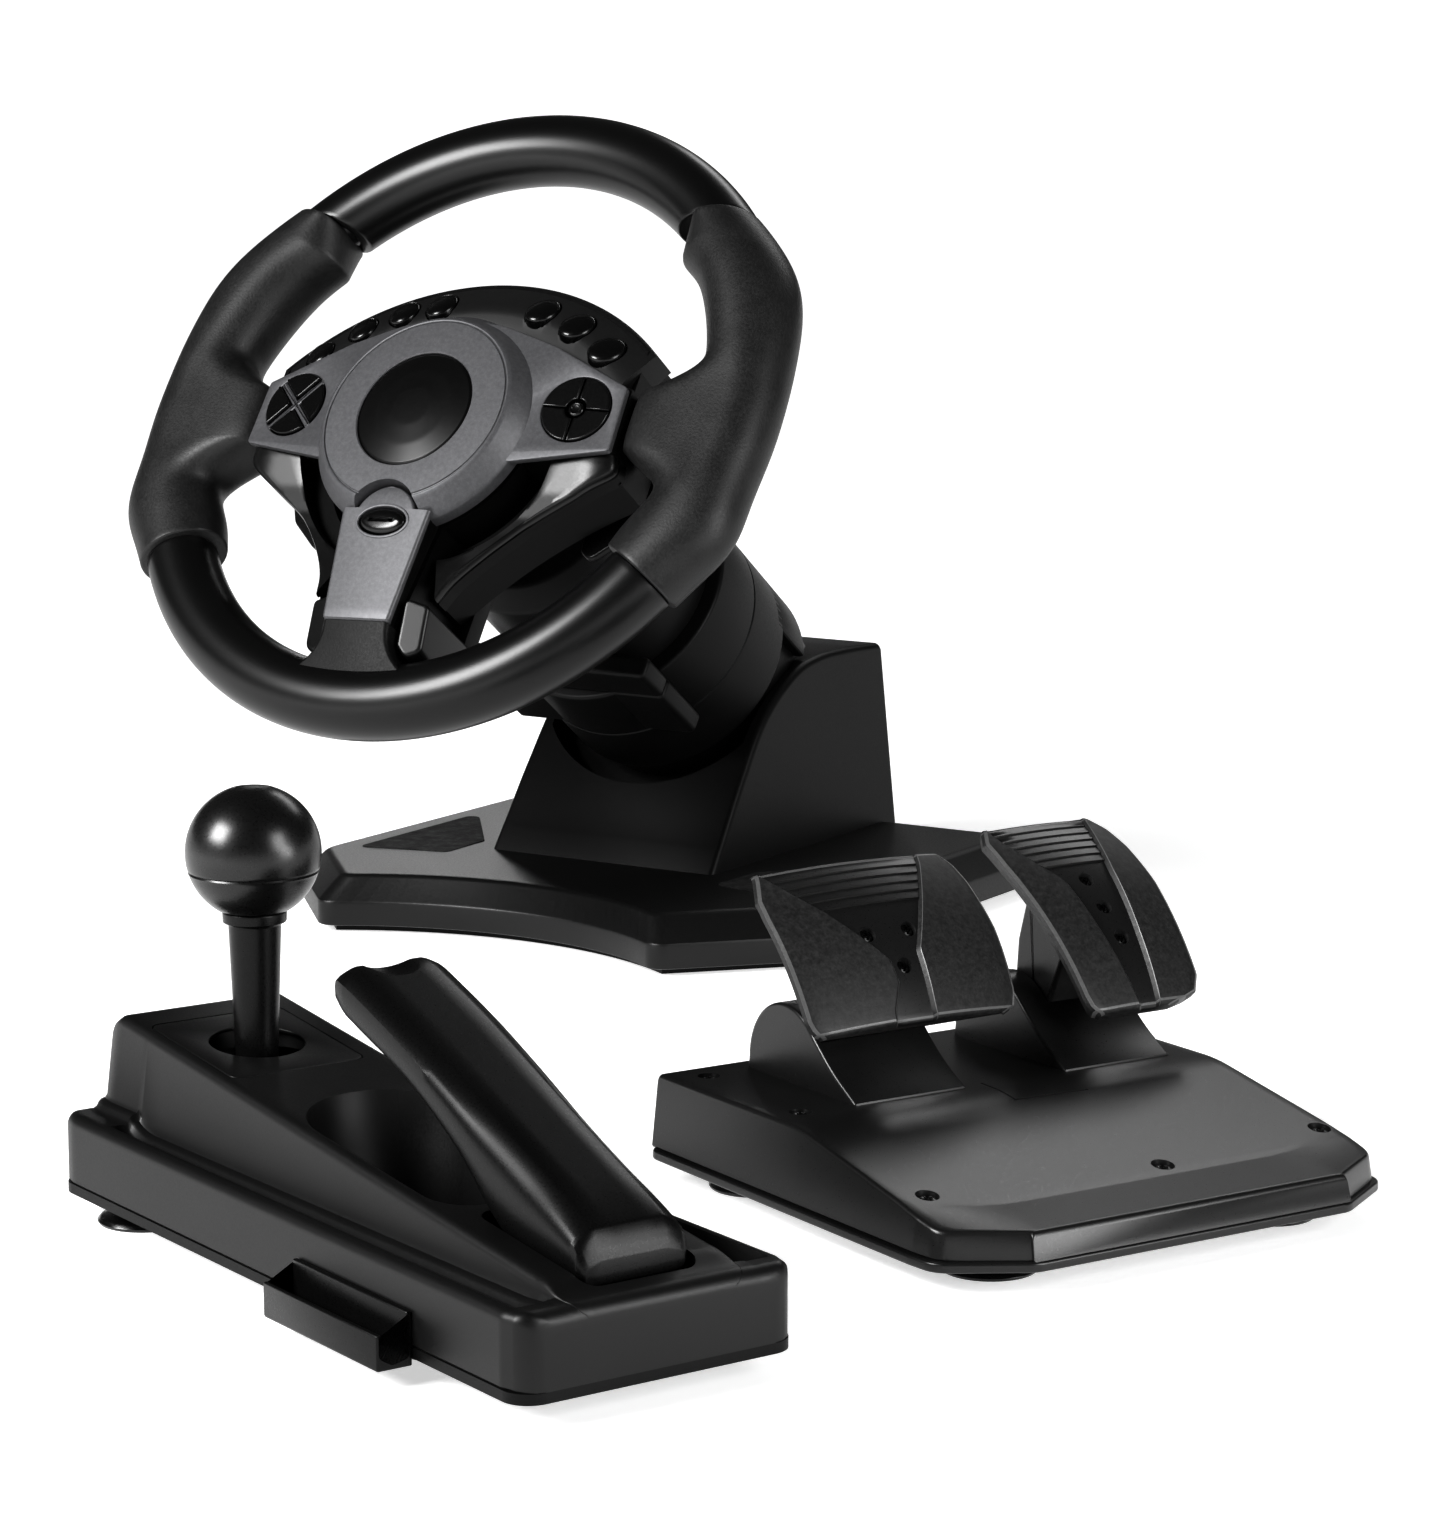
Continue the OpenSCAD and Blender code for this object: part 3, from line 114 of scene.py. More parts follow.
def soft(corners, radii, k=7, closed=True):
    """Outline with eased corners: each corner becomes a circular arc, drawn as the weighted curve
    (a(1-t)^2 + 2w c t(1-t) + b t^2) / ((1-t)^2 + 2w t(1-t) + t^2) with w the cosine of half the turn."""
    c = np.asarray(corners, float)
    back, fore = np.roll(c, 1, 0) - c, np.roll(c, -1, 0) - c
    lb, lf = np.linalg.norm(back, axis=1), np.linalg.norm(fore, axis=1)
    u, w = back / lb[:, None], fore / lf[:, None]
    half = (np.pi - np.arccos(np.clip((u * w).sum(1), -1, 1))) / 2
    cut = np.minimum(np.maximum(radii, 0.02) * np.tan(half), 0.49 * np.minimum(lb, lf))[:, None]
    a, b, m = (c + u * cut)[:, None], (c + w * cut)[:, None], c[:, None]
    t, g = np.linspace(0, 1, k)[None, :, None], np.cos(half)[:, None, None]
    over = a * (1 - t) ** 2 + 2 * g * m * t * (1 - t) + b * t ** 2
    arc = over / ((1 - t) ** 2 + 2 * g * t * (1 - t) + t ** 2)
    if closed:
        return arc.reshape(-1, 2)
    return np.concatenate([c[:1], arc[1:-1].reshape(-1, 2), c[-1:]])


def stack(outline, levels):
    """A closed outline carried up: each level (inset, height) moves every point inwards by its normal."""
    step = np.roll(outline, -1, 0) - np.roll(outline, 1, 0)
    out = np.stack([step[:, 1], -step[:, 0]], -1) / np.linalg.norm(step, axis=1)[:, None]
    return np.stack([np.c_[outline - d * out, np.full(len(outline), z)] for d, z in levels])


def skin(rings, caps=True, loop=False):
    """Quads between closed rings of points, with one flat face on each end, or joined end to end."""
    rings = np.asarray(rings, float)
    k = np.arange(rings.shape[0] * rings.shape[1]).reshape(rings.shape[:2])
    a, b = (k, np.roll(k, -1, 0)) if loop else (k[:-1], k[1:])
    quads = np.stack([a, np.roll(a, -1, 1), np.roll(b, -1, 1), b], -1).reshape(-1, 4).tolist()
    return rings.reshape(-1, 3), quads + ([k[0, ::-1].tolist(), k[-1].tolist()] if caps and not loop else [])


def on_floor(p):
    """The shared frame, in which the wheel base stands: points stay where they are."""
    return np.asarray(p, float)


def shown(name, data):
    """An object at the origin, linked to the scene."""
    obj = bpy.data.objects.new(name, data)
    bpy.context.scene.collection.objects.link(obj)
    return obj


MERGE = 2e-6


def solid(name, place, shapes, material, sharp=SHARP):
    """One mesh object from shapes in millimetres, each of them rings or points with faces, moved by place:
    points closer than MERGE metres made one, faces turned outwards, shaded smooth."""
    parts = [shape if isinstance(shape, tuple) else skin(shape) for shape in shapes]
    starts = np.cumsum([0] + [len(p) for p, _ in parts])
    faces = [[i + s for i in face] for (_, f), s in zip(parts, starts) for face in f]
    mesh = bpy.data.meshes.new(name)
    mesh.from_pydata(np.concatenate([place(p) for p, _ in parts]) / 1000, [], faces)
    work = bmesh.new()
    work.from_mesh(mesh)
    bmesh.ops.remove_doubles(work, verts=work.verts, dist=MERGE)
    bmesh.ops.recalc_face_normals(work, faces=work.faces)
    work.to_mesh(mesh)
    work.free()
    mesh.materials.append(material)
    mesh.shade_smooth()
    mesh.set_sharp_from_angle(angle=np.radians(sharp))
    return shown(name, mesh)


def piece(name, place, shapes, material, body, slot, *replaced, sharp=SHARP):
    """A finished piece: its mesh, the body it rides on, its slot (not used) and the CAD nodes it stands for.
    """
    obj = solid(name, place, shapes, material, sharp)
    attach(obj, body)
    if replaced:
        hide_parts(*replaced)
    return obj


bow_r = (NOSE_HALF ** 2 + BOW ** 2) / (2 * BOW)
bow_x = np.linspace(-NOSE_HALF + 11, NOSE_HALF - 11, 25)
bow_y = BASE_FRONT + BOW - bow_r + np.sqrt(bow_r ** 2 - bow_x ** 2)
base_side = np.array([[NOSE_HALF, BASE_FRONT], [BASE_HALF, BASE_FRONT + 46], [BASE_HALF, BASE_BACK - 8],
                      [BASE_HALF - 10, BASE_BACK]])
base_corners = np.concatenate([base_side[:1] * [-1, 1], np.c_[bow_x, bow_y], base_side,
                               base_side[:0:-1] * [-1, 1]])
base_plan = soft(base_corners, [9] + [0.02] * 25 + [9, 16, 9, 9, 9, 9, 16])
skirt = stack(base_plan, [(3, 3), (1.0, 3), (0.3, 3.3), (0, 4), (0, 11.8), (0.06, 12.5), (0.25, 13.0),
                          (0.5, 13.4), (0.5, 21.6), (0.8, 22.3), (1.5, 22.8), (2.6, 23), (3.4, 23)])
shrink = np.interp(skirt[..., 2], [SKIRT_Z, BASE_Z], [1, TOP_SCALE])
skirt[..., :2] *= shrink[..., None]
# Hands have rubbed the tray, so it is glossier than the floor and turns a soft grey where light grazes it.
tray_abs = grained("rubbed_black_abs", "#0a0a0a", "#111111", 0.7, 0.02, 0.4, Specular_IOR_Level=0.34)
piece("base_tray", on_floor, [skirt], tray_abs, "stands", "textured_black", "base_shell")

# Arm pads: two thin rubber mats let into the base where the wrists or a clamp rest.
# Dark grey rubber sheet with a coarse pebble that takes no gloss.
pad_corners = np.array([[102, -57.5], [103, 30.5], [65, -19.5], [64, -47.5]])
pebble_rubber = grained("pebbled_rubber_sheet", "#1c1c1c", "#3d3d3d", 1.6, 0.35, 0.85, drift=6,
                        Specular_IOR_Level=0.1)


def block(outline, low, high, foot, brow, k=5):
    """An outline carried up from low to high with a rounded foot and brow: it is inset by r(1 - cos a) at the
    distance r(1 - sin a) from each end, with a from nought to a right angle in k steps."""
    a = np.linspace(0, np.pi / 2, k)
    up = [(foot * (1 - np.cos(x)), low + foot * (1 - np.sin(x))) for x in a[::-1]]
    top = [(brow * (1 - np.cos(x)), high - brow * (1 - np.sin(x))) for x in a]
    return stack(outline, [(foot + 0.4, low)] + up + top + [(brow + 0.4, high)])


mats = block(soft(pad_corners, 3.5), 22.0, 23.4, 0.1, 0.5)
piece("wrist_mats", on_floor, [mats, mats * [-1, 1, 1]], pebble_rubber, "stands", "dark_grey", "arm_pads")

# Column: the upright box behind the wheel that carries the steering head in a round cradle.
# Black ABS; its side walls curve up to the top in one sweep and have eased edges.
COL_HALF = 54.0
RAKE, RIM_Y, RIM_Z, WHEEL_TURN = np.radians(36), -128.0, 208.0, np.radians(2)


def through(knots, k=9):
    """Smooth curve through knots: cubic pieces whose slope at a knot is half the step across it."""
    p = np.asarray(knots, float)
    q = np.concatenate([[2 * p[0] - p[1]], p, [2 * p[-1] - p[-2]]])
    a, b, c, d = q[:-3, None], q[1:-2, None], q[2:-1, None], q[3:, None]
    t = np.linspace(0, 1, k, endpoint=False)[None, :, None]
    line = b + 0.5 * ((c - a) * t + (2 * a - 5 * b + 4 * c - d) * t ** 2 + (3 * b - a - 3 * c + d) * t ** 3)
    return np.concatenate([line.reshape(-1, p.shape[1]), p[-1:]])


def axes(p):
    """The three coordinates of points as three arrays."""
    return np.moveaxis(np.asarray(p, float), -1, 0)


def on_head(p):
    """Steering-axis frame (x, up the wheel, towards the driver) to the shared frame: a lean by the rake."""
    x, v, n = axes(p)
    return np.stack([x, RIM_Y + v * np.sin(RAKE) - n * np.cos(RAKE),
                     RIM_Z + v * np.cos(RAKE) + n * np.sin(RAKE)], -1)


def cut(obj, place, *shapes):
    """Takes closed shapes out of a solid, one after the other, and keeps the result as its mesh."""
    for shape in shapes:
        tool = solid("cutter", place, [shape], obj.data.materials[0])
        knife = obj.modifiers.new("cut", "BOOLEAN")
        knife.operation, knife.solver, knife.object = "DIFFERENCE", "MANIFOLD", tool
        shaped = bpy.data.meshes.new_from_object(obj.evaluated_get(bpy.context.evaluated_depsgraph_get()))
        obj.modifiers.clear()
        obj.data = shaped
        bpy.data.objects.remove(tool)
    obj.data.set_sharp_from_angle(angle=np.radians(SHARP))


sweep = through([[101, 99.2], [80, 100.0], [56, 99.6], [35, 94.6], [11, 79.5], [-8, 56.5], [-22, 37],
                 [-26, 31.6]])
corners = soft([sweep[-1], [-37, 16], [117.4, 16], [108, 98.8], sweep[0]], [0, 3.2, 3.2, 5, 0])[7:28]
side = np.concatenate([corners, sweep])
wall = block(side, -COL_HALF, COL_HALF, 2.6, 2.6, 6)
column = np.stack([wall[..., 2] * (1 - 4 / COL_HALF * wall[..., 1] / 110), wall[..., 0], wall[..., 1]], -1)
bowl = np.linspace(np.radians(-37), np.radians(-143), 33)
cradle = np.concatenate([[[-46, -34.7], [-46, 42], [46, 42], [46, -34.7]],
                         57.6 * np.c_[np.cos(bowl), np.sin(bowl)]])
post = piece("column", on_floor, [column], eroded_abs, "stands", "textured_black", "column_shell")
cut(post, on_head, stack(cradle[::-1], [(0, -202), (0, -90)]))

# Steering head: a front casing and a rear barrel on the steering axis, with a ledge along the underside.
# Black ABS turnings with eased rims; the barrel's rear collar sits in the column's cradle.
HEAD_R, CASE_R = 49.9, 43.9


def lathe(profile, n=96, middle=(0, 0)):
    """A profile of (radius, height) pairs turned once round the axis at middle."""
    p, a = np.asarray(profile, float), np.arange(n) * 2 * np.pi / n
    return np.stack([p[:, :1] * np.cos(a) + middle[0], p[:, :1] * np.sin(a) + middle[1],
                     np.repeat(p[:, 1:2], n, 1)], -1)


def turning(corners, radii, n=96, middle=(0, 0)):
    """A lathe piece whose profile has eased corners."""
    return lathe(soft(corners, radii, closed=False), n, middle)


def oblong(x0, x1, y0, y1, corner, k=7):
    """A rectangle with eased corners."""
    return soft([[x0, y0], [x1, y0], [x1, y1], [x0, y1]], corner, k)


case = turning([[0, -127.8], [CASE_R, -127.8], [CASE_R, -71], [37, -62], [15, -62], [12.5, -64.5],
                [0, -64.5]], [0, 0.8, 4, 3, 1.2, 1, 0])
ledge = oblong(-42, 42, -46, -37, 2.5)
piece("head_casing", on_head, [case, block(ledge, -128, -111, 1.6, 1.6)], eroded_abs, "stands",
      "textured_black", "head_front")
barrel = turning([[0, -234], [39.5, -234], [45.5, -228], [45.5, -186.4], [HEAD_R, -186.4], [HEAD_R, -160],
                  [HEAD_R, -159], [HEAD_R - 0.7, -158.4], [HEAD_R, -157.8], [HEAD_R, -128.2], [0, -128.2]],
                 [0, 3, 3, 0.5, 1.2, 0.1, 0.1, 0.1, 0.1, 1.6, 0])
lid_a = np.linspace(np.radians(19), np.radians(161), 40)
lid = soft(HEAD_R * np.c_[np.cos(lid_a), np.sin(lid_a)], [2] + [0.02] * 38 + [2], 4)
piece("head_barrel", on_head, [barrel, block(lid, -207, -181, 0.8, 0.8), block(ledge, -158, -128, 1.6, 1.6)],
      eroded_abs, "stands", "textured_black", "head_rear")

# Shaft, bearings, spring, sensors and board: the works inside the head and the hub.
# Turned steel, oiled bronze, drawn spring wire, and glass-fibre board with its green lacquer.
# Bare steel gives a cool bright streak, oiled bronze a warm one, and the lacquered board a glassy green.
turned_steel = grained("turned_steel", "#8d8f92", "#a5a7aa", 0.5, 0.006, 0.32, Metallic=1.0)
oiled_bronze = grained("oiled_bronze", "#7c5a2c", "#8e6a38", 0.6, 0.01, 0.4, Metallic=1.0)
green_board = grained("lacquered_board", "#0d3a1c", "#13502a", 1.2, 0.03, 0.35)
dress(turned_steel, "steel", "steering_shaft", "centering_spring", "return_springs", "pivot_pins",
      "shift_gimbal")
dress(oiled_bronze, "bronze", "shaft_bearings")
dress(green_board, "board", "wheel_board", "position_sensors")

# Rim caps: the bare upper and lower arcs of the rim.
# Smooth black PVC skin over the core, satin, so a soft light draws one long streak along it.
RIM_R, TUBE_R, GRIP_TOP, GRIP_LOW, SEAM_TILT = 121.3, 13.7, 44.0, 32.0, 30.0


def on_wheel(p):
    """The steering-axis frame turned about the axis as the wheel stands, then leaned by the rake."""
    x, v, n = axes(p)
    c, s = np.cos(WHEEL_TURN), np.sin(WHEEL_TURN)
    return on_head(np.stack([x * c - v * s, x * s + v * c, n], -1))


def rim_arc(a, r, lean, n=64):
    """Tube on the rim circle: at angle a a circle of radius r in a plane that leans by lean, so that the
    point is R(cos a, sin a) + r cos f / cos(lean) (cos t, sin t) with t = a + lean, and r sin f high."""
    f = np.arange(n) * 2 * np.pi / n
    a, t = np.radians(a)[:, None], np.radians(a + lean)[:, None]
    p = r[:, None] * np.cos(f) / np.cos(t - a)
    return np.stack([RIM_R * np.cos(a) + p * np.cos(t), RIM_R * np.sin(a) + p * np.sin(t),
                     np.repeat(r[:, None], n, 1) * np.sin(f)], -1)


def eased_ends(a0, a1, n, r):
    """Stations from a0 to a1 with a small rounding of the radius r at both ends."""
    a = np.concatenate([[a0, a0 + 0.08, a0 + 0.25], np.linspace(a0 + 0.5, a1 - 0.5, n),
                        [a1 - 0.25, a1 - 0.08, a1]])
    return a, r - np.interp(np.minimum(a - a0, a1 - a), [0, 0.08, 0.25, 0.5], [0.9, 0.5, 0.12, 0])


satin_pvc = grained("satin_black_pvc", "#050505", "#090909", 0.6, 0.006, 0.3, spread=0.02,
                    Specular_IOR_Level=0.36)
top_a, top_r = eased_ends(GRIP_TOP, 180 - GRIP_TOP, 120, TUBE_R)
side_of = top_a - 90
top_lean = np.sign(side_of) * SEAM_TILT * (np.clip(np.abs(side_of) - 14, 0, None) / 32) ** 2
piece("rim_upper", on_wheel, [rim_arc(top_a, top_r, top_lean)], satin_pvc, "wheel", "satin_black",
      "rim_top_cap")
low_a, low_r = eased_ends(180 + GRIP_LOW, 360 - GRIP_LOW, 140, TUBE_R)
piece("rim_lower", on_wheel, [rim_arc(low_a, low_r, low_a * 0)], satin_pvc, "wheel", "satin_black",
      "rim_bottom_cap")
dress(satin_pvc, "core_nylon", "rim_core")

# Grips: thick hand holds with a swelling for the thumb, which run into the side spokes.
# Soft-touch rubber overmoulded on the core, dull and finely pebbled, with the tool's parting line outside.
GRIP_R, WING_W = 16.0, 81.0


def grip(mirror):
    """Closed rings round the rim from the lower to the upper seam: radius outwards, inwards and forwards are
    sums of bell curves over the angle, and at the spoke the ring turns to a squarish tongue."""
    a, shrink_in = eased_ends(-GRIP_LOW, GRIP_TOP, 150, 0.0)
    f = np.arange(120) * 2 * np.pi / 120
    bell = lambda c, w: np.exp(-((a - c) / w) ** 2)
    tongue = np.exp(-((a + 3) / 11) ** 4)
    out = GRIP_R + 4 * bell(25, 12) + 4.5 * bell(-20, 7) + shrink_in
    inn = np.minimum(GRIP_R + 4.5 * bell(40, 6) + 3 * bell(-27, 7) + 30 * tongue,
                     RIM_R - (WING_W + 0.1) / np.cos(np.radians(a))) + shrink_in
    high = GRIP_R + 1.2 * bell(28, 14) - tongue + shrink_in
    c, s = np.cos(f), np.sin(f)
    e = 1 - 0.5 * tongue[:, None]
    line = 1 - 0.028 * np.exp(-((f - np.radians(330)) / 0.035) ** 2)
    p = np.where(c >= 0, out[:, None] * c, inn[:, None] * np.sign(c) * np.abs(c) ** e) * line
    q = high[:, None] * np.sign(s) * np.abs(s) ** np.where(c >= 0, 1, e) * line
    t = np.radians(a - SEAM_TILT * (np.clip(a - 12, 0, None) / (GRIP_TOP - 12)) ** 2)[:, None]
    b = np.radians(a)[:, None]
    rings = np.stack([RIM_R * np.cos(b) + p * np.cos(t), RIM_R * np.sin(b) + p * np.sin(t), q], -1)
    return rings * [mirror, 1, 1]


# The pebbles break the lamps up into a broad, dull sheen.
grip_rubber = grained("soft_touch_rubber", "#101010", "#1e1e1e", 0.9, 0.12, 0.46, drift=9,
                      Specular_IOR_Level=0.4)
for name, mirror in (("left", -1), ("right", 1)):
    piece(f"hand_grip_{name}", on_wheel, [grip(mirror)], grip_rubber, "wheel", "grip_rubber", f"grip_{name}")

# Hub shell and back cover: the black box behind the face, with glossy webs that sweep down to the spoke.
# Black ABS; the webs are buffed and roll over at the edge, and the back cover closes the box.
HUB_V = -11.5
# Each cross-section: share of the way out from the recess to the sweep, inset from there, and drop in mm.
BAND = np.array([[0, 0, 14], [0, 0, 1], [0, -0.3, 0.2], [0.1, 0, 0], [0.25, 0, 0], [0.4, 0, 0], [0.55, 0, 0],
                 [0.7, 0, 0], [0.85, 0, 0], [1, 1.4, 0.1], [1, 0.5, 0.5], [1, 0, 1.5], [1, 0, 2.8],
                 [1, 0.5, 3.1], [0.5, 0, 9]])
WALL = np.array([[0.5, 0, 3.2], [1, 0.5, 3.2], [1, 0.5, 3.6], [1, 0, 3.9], [1, 0, 9], [0.5, 0, 9]])


def web(section):
    """A band between the recess round the hub and the outer sweep, one closed cross-section at each station;
    its height is a curve over v that lifts next to the spoke and falls off beyond x = 70 with the square."""
    outer = through([[80.4, -18], [80.6, -25.8], [68, -35.3], [52.3, -45.8], [44.5, -53], [36, -63.5],
                     [29.5, -74], [26.6, -83]], 9)
    a = np.arctan2(outer[:, 1] - HUB_V, outer[:, 0])
    inner = np.c_[57.5 * np.cos(a), HUB_V + 57.5 * np.sin(a)]
    step = outer - inner
    step = (step / np.linalg.norm(step, axis=1)[:, None])[:, None]
    t, inset, drop = section[:, :1], section[:, 1:2], section[:, 2]
    flat = inner[:, None] * (1 - t) + outer[:, None] * t - step * inset
    height = np.interp(flat[..., 1], [-83, -74, -63.5, -52.6, -45.8, -35, -24, -18],
                       [11.5, 10, 8.2, 6.8, 6.6, 8, 11.5, 12.2])
    x = flat[..., 0]
    height += 0.3 * np.clip(24 - x, 0, None) - 0.03 * np.clip(x - 70, 0, None) ** 2 - drop
    return np.concatenate([flat, height[..., None]], -1)


# Polished ABS shows the lamps as windows, the buffed webs blur them to a band, the shell stays flat black.
gloss_abs = grained("polished_black_abs", "#040404", "#070707", 0.8, 0.002, 0.22, spread=0.03,
                    Specular_IOR_Level=0.4)
web_abs = grained("buffed_black_abs", "#070707", "#0b0b0b", 0.8, 0.004, 0.33, spread=0.03,
                  Specular_IOR_Level=0.4)
shell_abs = grained("plain_black_abs", "#060606", "#0b0b0b", 0.7, 0.01, 0.38, Specular_IOR_Level=0.12)
dress(shell_abs, "matt_black", "hub_shell")
tub = turning([[0, -18], [42, -18], [42, -26], [34, -38], [9, -38], [9, -36], [0, -36]],
              [0, 1, 4, 3, 0.3, 0.3, 0], middle=(0, HUB_V))
cheek = [[16.4, -102], [20, -106], [25.8, -103], [25.8, -85.8], [16.4, -84.4]]
cheeks = block(soft(cheek, [2.2, 3, 4, 2.2, 2.2]), -27, 15, 1, 1.2)
cheeks[..., 2] += (0.24 * (cheeks[..., 1] + 84.4) - 0.3 * (cheeks[..., 0] - 16.4)) * (cheeks[..., 2] > 0)
piece("hub_webs", on_wheel, [shape * [m, 1, 1] for shape in (web(BAND), cheeks) for m in (1, -1)], web_abs,
      "wheel", "satin_black")
piece("hub_skirts", on_wheel, [web(WALL) * [m, 1, 1] for m in (1, -1)], shell_abs, "wheel", "matt_black")
strap = block(oblong(-24, 24, -103.5, -44, 3), -27, -18, 1.5, 0.2)
piece("hub_tub", on_wheel, [tub, strap], shell_abs, "wheel", "matt_black", "hub_back")

# Button panel: the arched plate over the hub that holds seven keys.
# Satin black ABS; it leans back from the hub like a cone, and each key has an oval hole with a small gap.
RIGHT_KEYS = [(31.5, 39.5), (49, 33), (65.5, 22.5)]
LEFT_KEYS = [(-15, 42), (-31.5, 39), (-48.2, 32), (-64, 20.8)]
KEY_L, KEY_W, KEY_GAP, PANEL_R, PANEL_TOP, PANEL_OFF, PANEL_LEAN = 12.8, 15.0, 0.5, 114.5, 55.5, 5.0, 0.5


def on_panel(where):
    """From a key's own frame (along the panel, outwards, out of the surface) to its place on the cone."""
    r = np.array(where) - [PANEL_OFF, PANEL_TOP - PANEL_R]
    far = np.linalg.norm(r)
    (x, v), lean = r / far, np.arctan(PANEL_LEAN)

    def place(p):
        u, w, n = axes(p)
        out = w * np.cos(lean) + n * np.sin(lean)
        high = 7 + PANEL_LEAN * (PANEL_R - far) - w * np.sin(lean) + n * np.cos(lean)
        return on_wheel(np.stack([where[0] + u * v + out * x, where[1] - u * x + out * v, high], -1))
    return place


def oval(w, h, k=40):
    """An ellipse of k points."""
    a = np.arange(k) * 2 * np.pi / k
    return np.c_[w / 2 * np.cos(a), h / 2 * np.sin(a)]


depth = np.array([27, 27, 22, 18, 15, 11, 5, 1.2, 0.4, 0, 0, 2])
arch_a = np.radians(np.linspace(47 - 0.27 * depth, 137 + 0.27 * depth, 91))
level = 7 + PANEL_LEAN * depth - np.array([18, 8, 5, 2, 0.6, 0, 0, 0, 0.15, 0.6, 12, 12])
spread = PANEL_R - depth
panel = np.stack([PANEL_OFF + spread * np.cos(arch_a), PANEL_TOP - PANEL_R + spread * np.sin(arch_a),
                  level + 0 * arch_a], -1)
# Satin ABS draws a soft highlight along its edges; the sanded panel is greyer, with no window in it.
satin_abs = grained("satin_black_abs", "#060606", "#0b0b0b", 0.6, 0.008, 0.3, spread=0.04,
                    Specular_IOR_Level=0.2)
panel_abs = grained("sanded_black_abs", "#101010", "#181818", 0.6, 0.012, 0.44, spread=0.05,
                    Specular_IOR_Level=0.3)
key_panel = piece("key_panel", on_wheel, [panel], panel_abs, "wheel", "satin_black", "button_panel")
key_hole = stack(oval(KEY_L + 2 * KEY_GAP, KEY_W + 2 * KEY_GAP), [(0, -2.5), (0, 5)])
for where in RIGHT_KEYS + LEFT_KEYS:
    cut(key_panel, on_panel(where), key_hole)

# Face plate: the silver wings with two round key wells, and the tapering lower spoke.
# ABS sprayed with a fine metallic silver-grey lacquer; the flake shows as a dull sparkle.
PAD_X, PAD_V, PAD_R, START_V = 63.0, -4.5, 13.8, -57.0
SPOKE_SLOPE, SPOKE_END, SPOKE_LOW_N, ARCH_R = 0.096, -96.0, 18.0, 13.9
START_N = SPOKE_LOW_N + (START_V - SPOKE_END) * SPOKE_SLOPE
silver_lacquer = grained("silver_lacquer", "#4a4a4c", "#58585a", 0.45, 0.012, 0.46, spread=0.05, drift=1.5,
                         Metallic=0.45)


def on_wing(p):
    """The wheel's frame with the wings' rise from their ends towards the hub added to the height."""
    p = np.array(p, float)
    p[..., 2] += 0.11 * (80 - np.abs(p[..., 0])) * (p[..., 2] > 9)
    return on_wheel(p)


def plate(loops, low, high, edge):
    """A flat plate with holes: filled outlines drawn as one 2D curve, thickened, its edges eased by edge."""
    drawn = bpy.data.curves.new("plate", "CURVE")
    drawn.dimensions, drawn.fill_mode = "2D", "BOTH"
    drawn.extrude, drawn.bevel_depth = (high - low) / 2 - edge, edge
    drawn.bevel_resolution, drawn.offset = 2, -edge
    for loop in loops:
        run = drawn.splines.new("POLY")
        run.points.add(len(loop) - 1)
        run.points.foreach_set("co", np.c_[loop, np.zeros(len(loop)), np.ones(len(loop))].ravel())
        run.use_cyclic_u = True
    obj = shown("plate", drawn)
    mesh = bpy.data.meshes.new_from_object(obj.evaluated_get(bpy.context.evaluated_depsgraph_get()))
    bpy.data.objects.remove(obj)
    co = np.empty(len(mesh.vertices) * 3)
    mesh.vertices.foreach_get("co", co)
    part = co.reshape(-1, 3) + [0, 0, (low + high) / 2], [list(f.vertices) for f in mesh.polygons]
    bpy.data.meshes.remove(mesh)
    return part


def spun(shape, c, s):
    """A shape turned about its third axis by the angle with cosine c and sine s."""
    return shape @ np.array([[c, s, 0], [-s, c, 0], [0, 0, 1]])


wing = soft([[4, -29], [43, -28.2], [81, -20.3], [80.2, 6.4], [46, 21.5], [22, 28.6], [4, 30]],
            [0, 3, 1.5, 1.5, 40, 40, 0])
well = oval(2 * PAD_R, 2 * PAD_R, 64) + [PAD_X, PAD_V]
wings = [plate([wing * [s, 1], well * [s, 1]], 11.5, 14.2, 0.45) for s in (1, -1)]
rib = block(oblong(-14, 14, -1.2, 1.2, 0.3), 11.5, 14.2, 0.1, 0.5)
ribs = [spun(rib, np.sqrt(0.5), s * np.sqrt(0.5)) + [-PAD_X, PAD_V, 0] for s in (1, -1)]
piece("silver_face", on_wing, wings + ribs, silver_lacquer, "wheel", "silver_paint", "face_plate")
quarter = np.linspace(0, np.pi / 2, 6)
BROW = -1.4 * np.c_[1 - np.cos(quarter), 1 - np.sin(quarter)]


def bridge(v, w, top, low, edge=1.0):
    """Cross-sections of a bar along v: half width w, a flat underside at low, and upper corners at height
    top, rounded with edge times the brow's quarter circle."""
    brow, one = edge * BROW, np.ones(len(BROW))
    return np.array([np.concatenate([[[b, a, d]], np.c_[b + brow[:, 0], a * one, c + brow[:, 1]],
                                     np.c_[-b - brow[::-1, 0], a * one, c + brow[::-1, 1]], [[-b, a, d]]])
                     for a, b, c, d in zip(v, w, top, low + 0 * v)])


